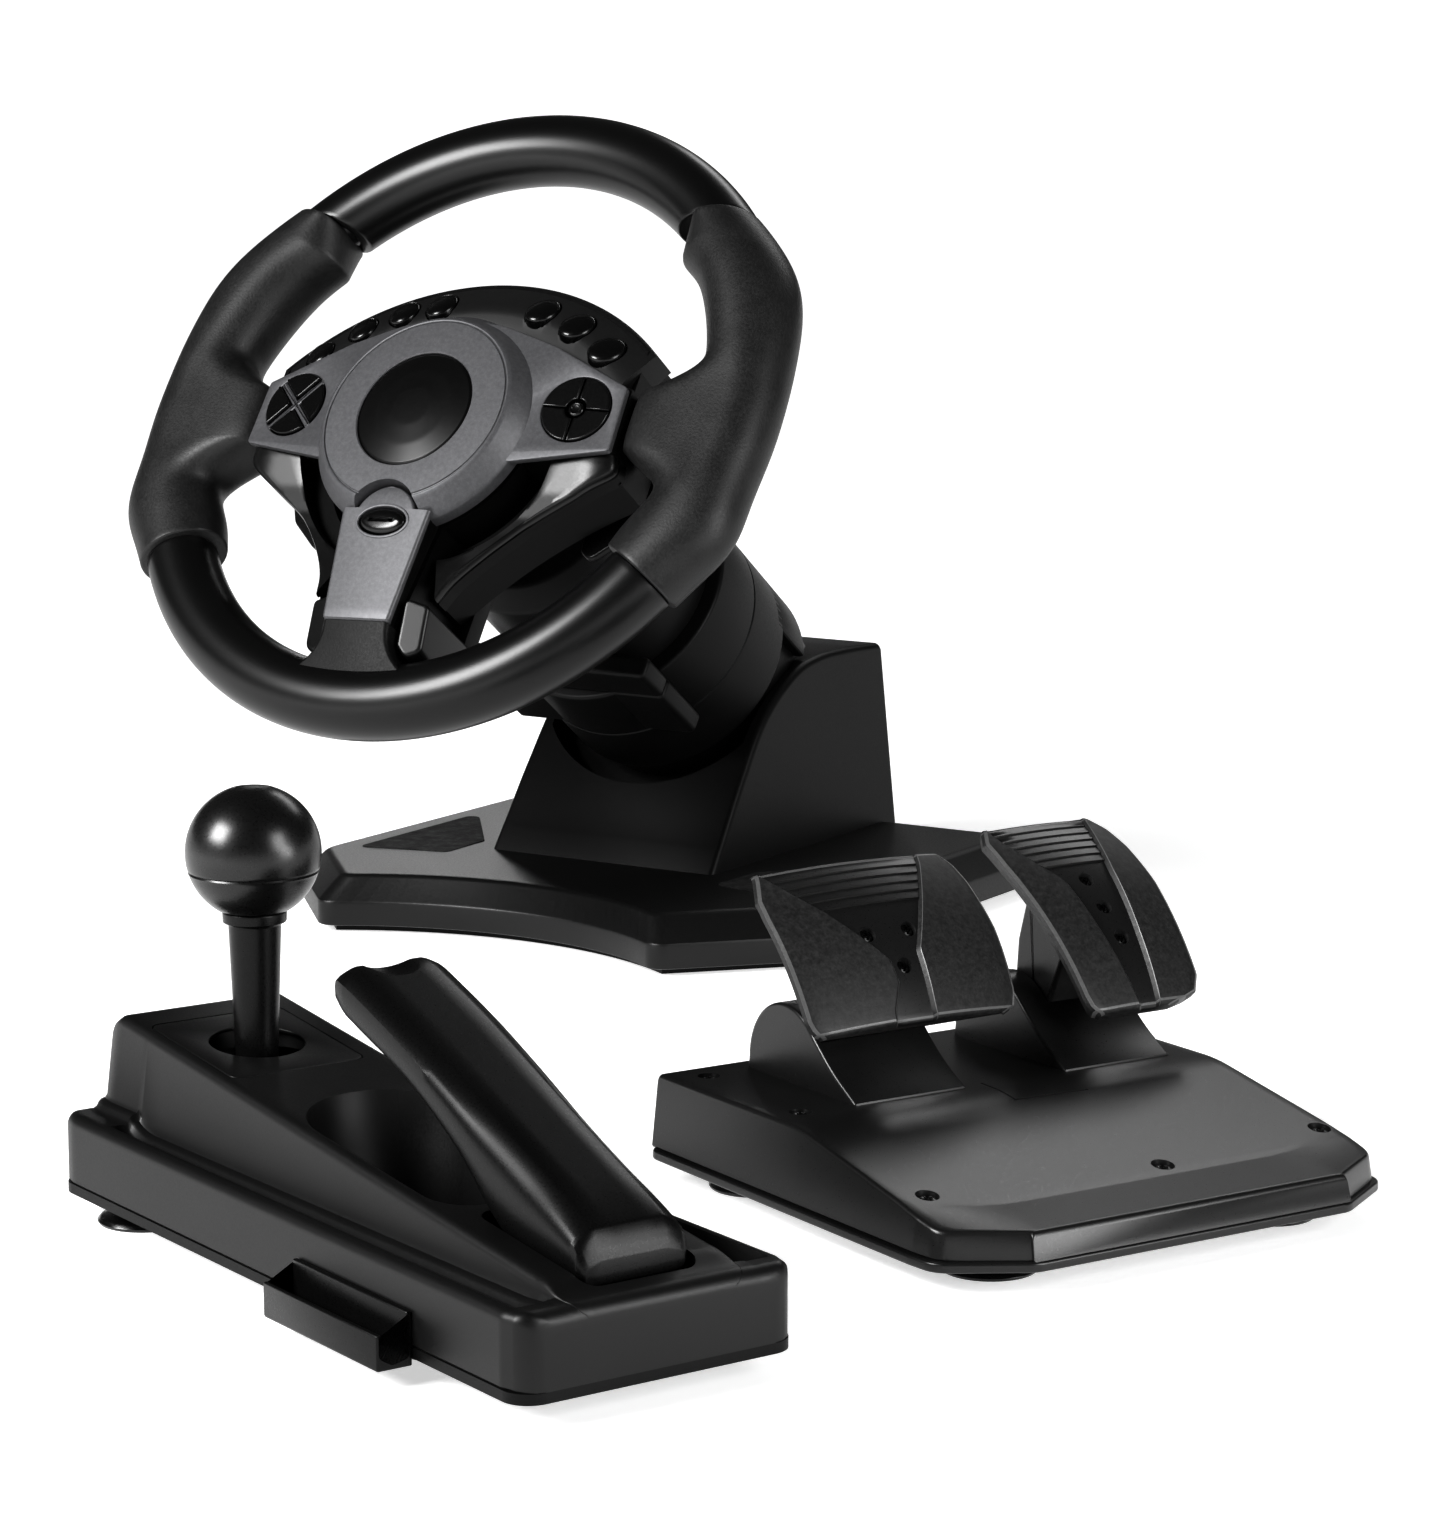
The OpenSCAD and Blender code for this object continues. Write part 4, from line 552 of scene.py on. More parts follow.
arch_v = START_V + ARCH_R * np.sin(np.radians(np.linspace(84, 22, 12)))
spoke_v = np.concatenate([arch_v, np.linspace(-52, -94.6, 14), [-95.4, -95.9, -96.0]])
spoke_w = np.concatenate([np.sqrt(ARCH_R ** 2 - (arch_v - START_V) ** 2),
                          np.interp(-spoke_v[len(arch_v):], [52, 94.6, 95.4, 96], [19.4, 14.8, 14.6, 14.1])])
spoke_n = SPOKE_LOW_N + (spoke_v - SPOKE_END) * SPOKE_SLOPE
spoke_n -= np.interp(-spoke_v, [94.6, 95.4, 96], [0, 0.2, 0.9])
spoke = piece("spoke_face", on_wheel, [bridge(spoke_v, spoke_w, spoke_n, spoke_n - 2.4)], silver_lacquer,
              "wheel", "silver_paint")
start_hole = oval(21, 11.6) + [0, START_V]
cut(spoke, on_wheel, stack(start_hole, [(0, 5), (0, 40)]))
core_v = np.linspace(-48, -95.6, 6)
core_w, core_n = (np.interp(-core_v, [48, 96], ends) for ends in ([18.2, 13.2], [19.6, 14.8]))
core = bridge(core_v, core_w, core_n, -6.0)
cut(piece("spoke_core", on_wheel, [core], shell_abs, "wheel", "matt_black"), on_wheel,
    stack(start_hole, [(0, 9), (0, 40)]))

# Hub cover and badge: a round silver boss with a bevelled rim, a groove and a plain gloss disc.
# The same lacquer on the boss, notched round the start key; the disc is polished black acrylic, left bare.
rise = [[0, 13], [45.6, 13], [45.6, 16.8], [45.4, 17.8], [44.4, 19.2], [40.4, 25], [39.6, 25.8],
        [38.9, 26.1], [38.4, 26], [38.1, 25.5], [37.8, 25.6], [37.6, 26.1], [31, 26.5], [24.6, 26.6],
        [24.2, 26.2], [24.2, 23.2], [0, 23.2]]
cover = piece("hub_boss", on_wheel, [lathe(rise, 240, (0, HUB_V))], silver_lacquer, "wheel", "silver_paint",
              "hub_cover")
notch = oval(2 * (ARCH_R + 1.3), 2 * (ARCH_R + 1.3), 72) + [0, START_V]
cut(cover, on_wheel, stack(notch, [(0, 5), (0, 40)]))
# Acrylic is the deepest black on the wheel, with one soft window across its dome.
acrylic = grained("polished_black_acrylic", "#040404", "#060606", 2.0, 0.001, 0.3, spread=0.01,
                  Specular_IOR_Level=0.3)
disc = turning([[0, 23.0], [23.9, 23.0], [23.9, 25.8], [23, 26.3], [16, 27.5], [8, 28.3], [0, 28.6]],
               [0, 0.1, 0.5, 0.6, 30, 30, 0], middle=(0, HUB_V))
piece("badge_disc", on_wheel, [disc], acrylic, "wheel", "gloss_black", "hub_badge")
bezel = stack(oval(23.6, 14), [(0, -4), (0, 0.1), (0.2, 0.4), (0.6, 0.5), (1, 0.4), (1.2, 0.1), (1.2, -4)])
bezel += [0, START_V, START_N]
bezel[..., 2] += (bezel[..., 1] - START_V) * SPOKE_SLOPE
piece("start_bezel", on_wheel, [skin(bezel, loop=True)], silver_lacquer, "wheel", "silver_paint")

# Keys: seven oval keys, the start key, four direction keys and four menu keys.
# Polished black ABS with domed tops; each slides in its own hole against a rubber dome.
dome = [(0.3, -3.4), (0, -3.1), (0, -0.1), (0.15, 0.4), (0.6, 0.95), (1.4, 1.4), (2.6, 1.75), (3.8, 1.95),
        (4.6, 2.0)]
for side_name, places in (("left", LEFT_KEYS), ("right", RIGHT_KEYS)):
    for i, where in enumerate(places, 1):
        key = f"key_{side_name}_{i}"
        piece(f"{key}_cap", on_panel(where), [stack(oval(KEY_L, KEY_W), dome)], gloss_abs, key,
              "gloss_black", key)
start = stack(oval(19.6, 10.2), dome[:6] + [(2.4, 1.7), (3.8, 1.85), (4.7, 1.9)])
start += [0, START_V, START_N - 0.6]
start[:2, :, 2] = 13
start[2:, :, 2] += (start[2:, :, 1] - START_V) * SPOKE_SLOPE
piece("start_cap", on_wheel, [start], gloss_abs, "start_key", "gloss_black", "start_key")


def sector(r, inner, inset, k=14):
    """A quarter of a disc that keeps inset from both diagonals: arcs at r and inner, and straight sides."""
    top, low = (np.radians(45) - np.arcsin(inset / x) for x in (r, inner))
    a, b = np.linspace(-top, top, k), np.linspace(low, -low, 6)
    return np.concatenate([r * np.c_[np.cos(a), np.sin(a)], inner * np.c_[np.cos(b), np.sin(b)]])


PADS = {-PAD_X: (("dpad_right", "dpad_up", "dpad_left", "dpad_down"), sector(13.3, 3.2, 1.7), 15.3, 0),
        PAD_X: (("menu_right", "menu_top", "menu_left", "menu_bottom"), sector(13.4, 4.2, 0.35), 15.0,
                np.pi / 4)}
for x, (names, outline, top, start_a) in PADS.items():
    for q, key in enumerate(names):
        c, s = np.cos(q * np.pi / 2 + start_a), np.sin(q * np.pi / 2 + start_a)
        cap = spun(block(outline, 8.9, top, 0.1, 0.45), c, s) + [x, PAD_V, 0]
        piece(f"{key}_cap", on_wing, [cap], gloss_abs, key, "gloss_black", key)
stud = turning([[0, 9.1], [3, 9.1], [3, 14.4], [2.2, 15.2], [1.5, 14.4], [0, 14.2]],
               [0, 0.1, 0.6, 0.5, 0.4, 0], 40, (PAD_X, PAD_V))
piece("menu_stud", on_wing, [stud], gloss_abs, "wheel", "matt_black")

# Spoke foot: the flared block between the silver spoke and the rim.
# The grips' soft-touch rubber, run out over the core to the rim tube; no hand rubs it, so it is duller.
foot_v = np.linspace(-96.3, -116, 30)
flare = 14.5 + 14 * ((-foot_v - 96) / 20) ** 2.6
foot_n = SPOKE_LOW_N - 0.6 + (foot_v - SPOKE_END) * 0.32
heel = bridge(foot_v, flare, foot_n, -6.0, 1.5)
foot_rubber = grained("unworn_soft_touch_rubber", "#0c0c0c", "#161616", 0.9, 0.1, 0.46, drift=9,
                      Specular_IOR_Level=0.12)
piece("spoke_heel", on_wheel, [heel], foot_rubber, "wheel", "grip_rubber", "spoke_foot")

# Paddles: two flat blades behind the wheel, each on a barrel that swings in the hub shell's lugs.
# Satin black ABS with eased edges, in one with the barrel and its thinner pin.
blade = soft([[50, 12.6], [50, -16.6], [55.2, -16.6], [57, -42], [62, -46], [76, -34], [86, -12], [84, 8]],
             [2, 1, 0.5, 4, 4, 8, 6, 6])


def rod(r, low, high, edge, n=40, middle=(0, 0)):
    """A round pin of radius r along the third axis, with eased ends."""
    return turning([[0, low], [r, low], [r, high], [0, high]], [0, edge, edge, 0], n, middle)


pins = rod(3.8, -16.6, 12.6, 0.6, 32), rod(2.5, -20.8, 16.8, 0.3, 24)
shapes = [block(blade, -25.75, -22.25, 0.9, 0.9)] + [pin[..., [0, 2, 1]] + [50, 0, -24] for pin in pins]
for name, mirror in (("left", -1), ("right", 1)):
    piece(f"shift_blade_{name}", on_wheel, [shape * [mirror, 1, 1] for shape in shapes], satin_abs,
          f"paddle_{name}", "satin_black", f"paddle_{name}")

# Pedal housing: a wedge of a box with a bevelled nose, six screw wells and an access hatch in its deck.
# Dark grey ABS with a fine satin grain; it is screwed down onto the floor plate.
PEDAL_HALF, PEDAL_D, DECK_Z, LIP_Z, CREASE_Y = 83.0, 165.0, 33.0, 18.2, 22.5
BRAKE_X, GAS_X, PIVOT_Y, PIVOT_Z = -31.0, 48.0, 134.0, 32.0
SCREWS = np.array([[-68, 154], [-69, 102], [-70, 35.5], [10.5, 29], [75, 34], [71, 152]], float)


def floor_unit(x0, y0, turn):
    """From a floor unit's own frame, turned about the upright axis, to where the unit stands."""
    c, s = np.cos(np.radians(turn)), np.sin(np.radians(turn))

    def place(p):
        x, y, z = axes(p)
        return np.stack([x0 + c * x - s * y, y0 + s * x + c * y, z], -1)
    return place


on_pedals = floor_unit(414.0, -350.0, 64.5)
deck_line = soft([[-5, 15.2], [88, 33], [175, 33]], [0, 70, 0], 15, closed=False)


def deck(x, y):
    """Height of the housing's top: a ramp that levels off, and in front of a crease that bends back towards
    the sides a flatter bevel down to the lip; the front edge is rounded over."""
    out = np.clip((np.abs(x) - 46) / 34, 0, 1.1)
    crease, edge = CREASE_Y + 13 * out ** 2, 15 * np.clip((np.abs(x) - 56) / 27, 0, 1) ** 1.2
    ramp, brow = (np.interp(v, deck_line[:, 0], deck_line[:, 1]) for v in (y, crease))
    bevel = LIP_Z + (brow - LIP_Z) * np.clip((y - edge) / (crease - edge), 0, 1)
    fall = np.clip(1 - np.minimum(y, PEDAL_D - y) / 1.2, 0, 1)
    return np.where(y < crease, bevel, ramp) - 1.2 * (1 - np.sqrt(1 - fall ** 2))


def housing():
    """Sections across the box, one for each y: drafted sides, a small round at the brow, and the deck."""
    plan = soft([[0, 0], [57, 0], [82, 15], [PEDAL_HALF, 26], [PEDAL_HALF, PEDAL_D], [0, PEDAL_D]],
                [0, 9, 9, 2, 6, 0], 9, closed=False)[9:-9]
    y = np.unique(np.concatenate([[0, 0.1, 0.3, 0.6, 0.9, 1.2], np.linspace(1.6, 44, 72),
                                  np.linspace(45, 163, 60), [163.8, 164.4, 164.7, 164.9, 165]]))[:, None]
    w = np.interp(y, plan[:, 1], plan[:, 0])
    brow, a = 1.3, np.linspace(0, np.pi / 2, 5)
    across = np.linspace(1, -1, 61)[1:-1] * (w - brow)
    edge = np.concatenate([w + 0 * a, across, -w + 0 * a], 1)
    edge[:, :5] -= brow * (1 - np.cos(a))
    edge[:, -5:] += brow * (1 - np.cos(a[::-1]))
    z = deck(edge, y)
    z[:, :5] -= brow * (1 - np.sin(a))
    z[:, -5:] -= brow * (1 - np.sin(a[::-1]))
    one = np.ones_like(w)
    x = np.concatenate([w - 0.5, w, edge, -w, -w + 0.5], 1)
    z = np.concatenate([10 * one, 10.6 * one, z, 10.6 * one, 10 * one], 1)
    lean = 0.22 * (z - 10) * np.clip(1 - y / 26, 0, 1)
    return np.stack([x * (1 - 3.5 / PEDAL_HALF * z / DECK_Z), y + lean, z], -1)


# The fine grain blurs the lamps to a wide grey sheen over the deck.
satin_grey = grained("satin_grey_abs", "#101010", "#161616", 0.6, 0.012, 0.3, spread=0.03,
                     Specular_IOR_Level=0.4)
box = piece("pedal_housing", on_pedals, [housing()], satin_grey, "stands", "dark_grey", "pedal_shell")
hatch = np.array([[-3.4, 101], [-4.2, 82.1], [23.1, 80.9], [23.1, 81.7], [-3.4, 82.9], [-2.6, 101]])
seat_z = deck(SCREWS[:, 0], SCREWS[:, 1])
wells = [lathe([[0.01, z - 1.6], [3.5, z - 1.6], [3.7, z + 3], [0.01, z + 3]], 32, (x, y))
         for (x, y), z in zip(SCREWS, seat_z)]
slots = [stack(oblong(x - 10.8, x + 10.8, 121, 153, 1.5), [(0, 22), (0, 70)]) for x in (BRAKE_X, GAS_X)]
cut(box, on_pedals, stack(hatch, [(0, 30.4), (0, 36)]), *wells, *slots)

# Floor plate of the pedal unit: a flat tray whose rim shows as a thin lip under the housing.
# The same grey ABS.
tray_plan = soft([[-57.6, -0.8], [57.6, -0.8], [83, 14.4], [83.8, 26], [83.8, 165.8], [-83.8, 165.8],
                  [-83.8, 26], [-83, 14.4]], [9, 9, 9, 2, 6, 6, 2, 9])
piece("pedal_tray", on_pedals, [block(tray_plan, 7, 10, 0.7, 0.8)], satin_grey, "stands", "dark_grey",
      "pedal_floor")

# Pedal domes: two bearing covers on the deck, round at the back and swept down to a toe in front.
# The same grey ABS, moulded in one with the housing; each has a slot for its pedal arm.
dome_a = np.linspace(0, np.radians(133), 30)
dome_line = np.concatenate([[[157, 31]], [[137, 37]] + 20 * np.c_[np.cos(dome_a), np.sin(dome_a)],
                            through([[123.4, 51.6], [111, 41.2], [98.6, 33.6]], 8)[1:], [[98.2, 31]]])
for i, (x, slot) in enumerate(zip((BRAKE_X, GAS_X), slots), 1):
    shell = block(dome_line, x - 20.5, x + 20.5, 1.0, 1.0, 4)[..., [2, 0, 1]]
    cut(piece(f"pedal_dome_{i}", on_pedals, [shell], satin_grey, "stands", "dark_grey"), on_pedals, slot)

# Case screws: six cross-head screws sunk in the deck, which hold the housing to the floor plate.
# Blackened steel; the domed heads are polished by the driver, so each shows a small glint.
black_screw = grained("blackened_steel", "#0b0b0b", "#141414", 0.5, 0.01, 0.25, Metallic=0.6)


def screw(r):
    """A low domed head with a sunk cross: its height is d(1 - (p/r)^2), less the depth of the cross."""
    p, a = np.linspace(0.02, 1, 9)[:, None], np.arange(48) * 2 * np.pi / 48
    x, y = r * p * np.cos(a), r * p * np.sin(a)
    arm = (np.minimum(np.abs(x), np.abs(y)) < 0.17 * r) & (np.maximum(np.abs(x), np.abs(y)) < 0.6 * r)
    z = 0.35 * r * (1 - p ** 2) - 0.3 * r * arm
    foot = np.stack([x[-1], y[-1], 0 * x[-1] - 0.6 * r], -1)
    return np.concatenate([np.stack([x, y, z + 0 * x], -1), foot[None]])


piece("deck_screws", on_pedals, [screw(3.1) + [x, y, z - 1.3] for (x, y), z in zip(SCREWS, seat_z)],
      black_screw, "stands", "matt_black", "case_screws")

# Pedal arms: flat cranks that swing on the pivot pins and carry the pads.
# The housing's grey ABS, eased along the edges; a round boss in one with the crank turns on the pin.


def on_pad(x, c, lean):
    """From a pad's own frame (across, up the pad, out of its face), leaned back, to its place."""
    a = np.radians(90 - lean)

    def place(p):
        u, v, n = axes(p)
        return on_pedals(np.stack([x + u, c[0] + v * np.cos(a) - n * np.sin(a),
                                   c[1] + v * np.sin(a) + n * np.cos(a)], -1))
    return place


PEDALS = {"brake": (BRAKE_X, BRAKE_X, np.array([113.0, 78.0]), 40, 90.0),
          "gas": (GAS_X, GAS_X + 6, np.array([120.0, 80.0]), 48, 115.0)}
for name, (x, pad_at, middle, lean, drum) in PEDALS.items():
    lean_a = np.radians(lean)
    up = np.array([np.sin(lean_a), np.cos(lean_a)])
    back = middle - 3.6 * np.array([-np.cos(lean_a), np.sin(lean_a)])
    knee = [[125, 58]] if name == "brake" else []
    crank = soft([[127, 35], *knee, back - 13 * up, back + 13 * up, [138, 67], [141, 35]],
                 [1] + [8] * len(knee) + [0.5, 0.5, 6, 1])
    shapes = [block(crank[::-1], x - 9.9, x + 9.9, 1.2, 1.2, 4),
              rod(7.9, x - 9.9, x + 9.9, 0.6, 40, (PIVOT_Y, PIVOT_Z))]
    piece(f"{name}_crank", on_pedals, [q[..., [2, 0, 1]] for q in shapes], satin_grey, name, "dark_grey",
          f"{name}_arm")

# Pedal pads: crowned plates with a ribbed top, a sunk channel for the screws and a raised right wing.
# Grey ABS from a coarsely eroded tool, dull; the lighter grey line along its edges is a painted highlight.
pad_grain = grained("eroded_grey_abs", "#161616", "#2a2a2a", 0.9, 0.07, 0.46, drift=2,
                    Specular_IOR_Level=0.28)
# This lighter grey finish is a painted highlight for the pads' edges.
edge_highlight_abs = grained("painted_highlight_grey_abs", "#4a4a4a", "#585858", 0.8, 0.02, 0.36, Specular_IOR_Level=0.4)
RIB = 3.4


def sag(drum, y):
    """How far the surface of a drum of that radius lies below its crown at y, as a negative height."""
    return np.sqrt(drum ** 2 - y ** 2) - drum


def tread(y, marks, rises, drum, ribs):
    """A plate over rows y: marks are x lines up the pad with their rises, the face lies on a drum and falls
    to its sides with the square of the way from its middle, and between the fifth and sixth mark saw-tooth
    ribs of RIB mm pitch stand from the row ribs upwards. Also gives each face's finish: 0 grained, 1 smooth,
    2 a lighter grey along the edges and ends, a painted highlight."""
    grid = np.stack([np.interp(y, *np.array(m, float).T[::-1]) for m in marks], 1)
    fine = np.linspace(0, len(marks) - 1, 6 * (len(marks) - 1) + 1)
    k = np.minimum(fine.astype(int), len(marks) - 2)
    x = grid[:, k] + (grid[:, k + 1] - grid[:, k]) * (fine - k)
    z = np.interp(fine, np.arange(len(marks)), rises)[None] - 3.2 * ((x - x.mean(1)[:, None]) / 38) ** 2
    inside = (fine >= 4) & (fine <= 5)
    saw = np.where(y > ribs, 0.6 - 0.5 * np.mod(y - ribs, RIB) / RIB, 0)
    z[:, inside] += saw[:, None]
    end = np.clip(1 - np.minimum(y - y[0], y[-1] - y) / 1.5, 0, 1)
    z += (sag(drum, y) - 1.5 * (1 - np.sqrt(1 - end ** 2)))[:, None]
    flat = sag(drum, y) - 5 + 0.8 * end
    under = np.stack([x[:, -1] - 0.6, x[:, 0] + 0.6], 1)
    rings = np.concatenate([np.stack([x, 0 * x + y[:, None], z], -1),
                            np.stack([under, 0 * under + y[:, None], 0 * under + flat[:, None]], -1)], 1)
    mid, pair = np.r_[fine[:-1] + 1 / 12, 0, 0, 0], end[1:] + end[:-1]
    # Faces along the edges get the lighter grey: a painted highlight.
    highlight_edge = (mid > 1) & (mid < 2) | (mid > 5.8) & (mid < 6) | (mid > 7) & (mid < 8) | (mid > 3.6) & (mid < 4)
    finish = np.where((mid > 3.9) & (mid < 5), 1, np.where(highlight_edge, 2, 0))[None] + 0 * end[1:, None].astype(int)
    finish[(pair > 0.2) & (pair < 1.2)] = 2
    return rings, finish


def rows(low, high, ribs):
    """Rows of a pad: close together at both rounded ends and on either side of each rib's step."""
    steps, end = np.arange(ribs, high - 2, RIB), np.array([0, 0.1, 0.35, 0.8, 1.5])
    return np.unique(np.concatenate([low + end, np.linspace(low + 3, high - 3, 44), steps - 0.12,
                                     steps + 0.12, high - end]))


def beside(line, shift):
    """The same line moved across."""
    return [(x + shift, y) for x, y in line]


brake_left = [(-30, -25.5), (-33, -23.5), (-34, -20), (-34.5, 15), (-34, 22), (-31, 29), (-29.5, 33)]
brake_right = [(38, -25.5), (42, -24), (43.7, -20), (45, 2), (44, 20), (42.6, 27), (39.5, 33)]
brake_sunk = [(-3.4, -25.5), (-3.2, -21.6), (1, -12.8), (0.6, -5.4), (-14.1, 14), (-20.7, 22), (-27.8, 33)]
brake_wing = [(10.8, -25.5), (10.8, -22.2), (12, -3.4), (29, 28), (31, 33)]
gas_left = [(-13.5, -37), (-16.5, -35), (-17.5, -31), (-22.4, 20), (-22.6, 31), (-20, 36), (-18.5, 38)]
gas_right = [(14.5, -37), (25.5, -34.5), (28.5, -29), (30, 6), (29, 22), (27, 31), (22.6, 38)]
gas_sunk = [(2.4, -37), (2.3, -35.8), (-1.8, -7.2), (-4, 10), (-10, 19), (-15.5, 30), (-17.4, 38)]
gas_wing = [(9.5, -37), (12, -12.9), (15.4, 12), (18, 24), (21.4, 38)]
brake_bolts, gas_bolts = [(-3.4, 4.3), (11.6, 4.4), (5, -7.6)], [(4, 10), (4.4, -1.4), (5.2, -13)]
DETAILS = {"brake": (brake_left, brake_right, brake_sunk, brake_wing, 15.0, brake_bolts),
           "gas": (gas_left, gas_right, gas_sunk, gas_wing, 17.0, gas_bolts)}
for name, (left, right, sunk, raised, ribs, bolts) in DETAILS.items():
    x, pad_at, middle, lean, drum = PEDALS[name]
    marks = [left, beside(left, 0.5), beside(left, 1.6), beside(sunk, -1.2), beside(sunk, 0.2),
             beside(raised, -1.0), raised, beside(right, -1.6), beside(right, -0.5), right]
    rings, finish = tread(rows(left[0][1], left[-1][1], ribs), marks,
                          [-1.6, -0.5, 0, 0, -1.3, -1.3, 0.2, 0.2, -0.4, -1.6], drum, ribs)
    place = on_pad(pad_at, middle, lean)
    sheet = piece(f"{name}_tread", place, [rings], pad_grain, name, "dark_grey", f"{name}_pad", sharp=24)
    sheet.data.materials.append(satin_grey)
    sheet.data.materials.append(edge_highlight_abs)
    tint = np.zeros(len(sheet.data.polygons), np.int32)
    tint[:finish.size] = finish.ravel()
    sheet.data.polygons.foreach_set("material_index", tint)
    sink = sag(drum, np.array(bolts)[:, 1]) - 1.5
    cut(sheet, place, *(lathe([[0.01, s - 2], [2.5, s - 2], [2.9, s + 4], [0.01, s + 4]], 32, b)
                        for b, s in zip(bolts, sink)))
    heads = [screw(2.3) + [*b, s - 1.6] for b, s in zip(bolts, sink)]
    piece(f"{name}_bolts", place, heads, black_screw, name, "matt_black")

# Gear and handbrake housing: a long box with low sides and a ridge that climbs to the back.
# Black ABS, satin; a groove runs along each side, and a cup well, a lever slot and the gear gate are let in.
SHIFT_L, SIDE_Z, RIDGE_Z, RIDGE_SLOPE = 257.0, 31.0, 33.0, 27 / 245
CUP_Y, STICK_X, STICK_Y = 132.0, -2.5, 208.0
on_shifter = floor_unit(351.0, -537.0, 67)


def arc(r, k):
    """Quarter-round offsets (r cos a, r sin a) in k steps."""
    a = np.radians(np.linspace(0, 90, k))
    return r * np.cos(a), r * np.sin(a)


def long_box():
    """Sections across the box for each y: a rounded outer wall, a groove between it and the ridge, a drafted
    ridge wall and an eased shoulder; both ends of the box round over."""
    tail = SHIFT_L - np.array([0, 0.15, 0.4, 0.8, 1.4, 2.2, 3.2, 4.5, 6, 8, 10])
    y = np.unique(np.concatenate([[0, 0.15, 0.5, 1.1, 2, 3, 4.2], np.linspace(5, 30, 26),
                                  np.linspace(31, 215, 62), np.linspace(216, 245, 30), tail]))[:, None]
    w = np.interp(y, [0, 0.5, 1.1, 2, 4.2, 9, 248, 252.8, 255, 256, 256.5, 257],
                  [36, 38.9, 40, 41.2, 42.8, 44, 44, 42.8, 41.2, 40, 38.9, 36])
    near = np.minimum(y, SHIFT_L - y)
    drop = 4.2 * (1 - np.sqrt(1 - np.clip(1 - near / 4.2, 0, 1) ** 2))
    side = SIDE_Z - drop
    crest = np.minimum(RIDGE_Z + RIDGE_SLOPE * y, np.interp(SHIFT_L - y, [0, 0.4, 1.4, 3.2, 6, 10, 12],
                                                            [27, 36, 47.5, 54, 57.6, 59.6, 60.2]))
    crest = np.maximum(crest - np.where(y < 60, drop, 0), side + 0.3)
    rise = np.clip((y - 3) / 12, 0, 1) ** 2 * (3 - 2 * np.clip((y - 3) / 12, 0, 1))
    crest = np.where(y < 60, side + 0.3 + (crest - side - 0.3) * rise, crest)
    front, rear = (np.sqrt(1 - (1 - np.clip(way / 12, 0, 1)) ** 2) for way in (y - 8, 230 - y))
    dip = 4.6 * front * rear
    low, tall = side - dip, crest - side
    soft_r = np.minimum(3.2, tall * 0.8)
    foot = 28.4 + 0.09 * tall
    ledge_z = np.minimum(1, (crest - low) / 8)
    (ox, oz), (sx, sz) = arc(3.4, 7), arc(1, 6)
    one, bend, inner = np.ones_like(y), w / 44, 28 - soft_r
    x = np.concatenate([w - 0.6, w, w - 3.4 + ox, one * [39.8, 38.9, 37.9, 36.8] * bend,
                        (foot + [4.4, 3.4, 2.8, 1.8, 0.4]) * bend, (foot - 0.3) * bend,
                        (inner + soft_r * sx) * bend, one * np.linspace(1, 0, 9)[1:] * inner * bend], 1)
    z = np.concatenate([10 * one, 10.8 * one, side - 3.4 + oz, side - dip * [0.05, 0.35, 0.8, 1],
                        low + ledge_z * [0, 0.6, 1.7, 2.5, 2.8], low + ledge_z * 3.8,
                        crest - soft_r + soft_r * sz, crest * np.ones(8)], 1)
    right = np.stack([x, y + 0 * x, z], -1)
    left = right[:, -2::-1] * [-1, 1, 1]
    return np.concatenate([right, left], 1)


# Its grain gives a darker and softer sheen than the pedals' grey.
box_abs = grained("grained_black_abs", "#070707", "#0d0d0d", 0.6, 0.012, 0.4, spread=0.05,
                  Specular_IOR_Level=0.3)
casing = piece("shifter_housing", on_shifter, [long_box()], box_abs, "stands", "satin_black", "shifter_shell")
tilt = np.arctan(RIDGE_SLOPE)


def on_ridge(p):
    """A frame lying on the sloping ridge round the stick: its third axis leans with the slope."""
    u, v, n = axes(p)
    return on_shifter(np.stack([STICK_X + u, STICK_Y + v * np.cos(tilt) - n * np.sin(tilt),
                                RIDGE_Z + RIDGE_SLOPE * STICK_Y + v * np.sin(tilt) + n * np.cos(tilt)], -1))


cup_well = stack(oblong(-25, 25, 65, CUP_Y + 26, [14, 14, 24.8, 24.8], 20),
                 [(9, 15), (6, 15.2), (4.4, 16.4), (3.6, 19), (0, 50), (-1.6, 70)])
drain = stack(oval(20, 7) + [0, 118], [(0, 12.5), (0, 20)])
lever_slot = stack(oblong(-18.3, 18.3, 8, 62, 5), [(0, 5), (0, 70)])
gate_seat = stack(oblong(-22.4, 22.4, -26.4, 26.4, 3.5), [(0, -1.2), (0, 8)])
cut(casing, on_shifter, cup_well, drain, lever_slot)
cut(casing, on_ridge, gate_seat)
stick_hole = [[0.01, 5], [24, 5], [24, 49.5], [17, 50.5], [17, 70], [0.01, 70]]
cut(casing, on_shifter, lathe(stick_hole, 64, (STICK_X, STICK_Y)))

# Gate plate: the flat cover round the gear stick, let in flush with the ridge.
# The housing's ABS, with a plain round hole in which the stick leans.
gate = plate([oblong(-21.9, 21.9, -25.9, 25.9, 3.1), oval(28.4, 28.4, 72)], -1.15, 0.0, 0.25)
piece("gear_gate", on_ridge, [gate], box_abs, "stands", "satin_black", "gate_plate")

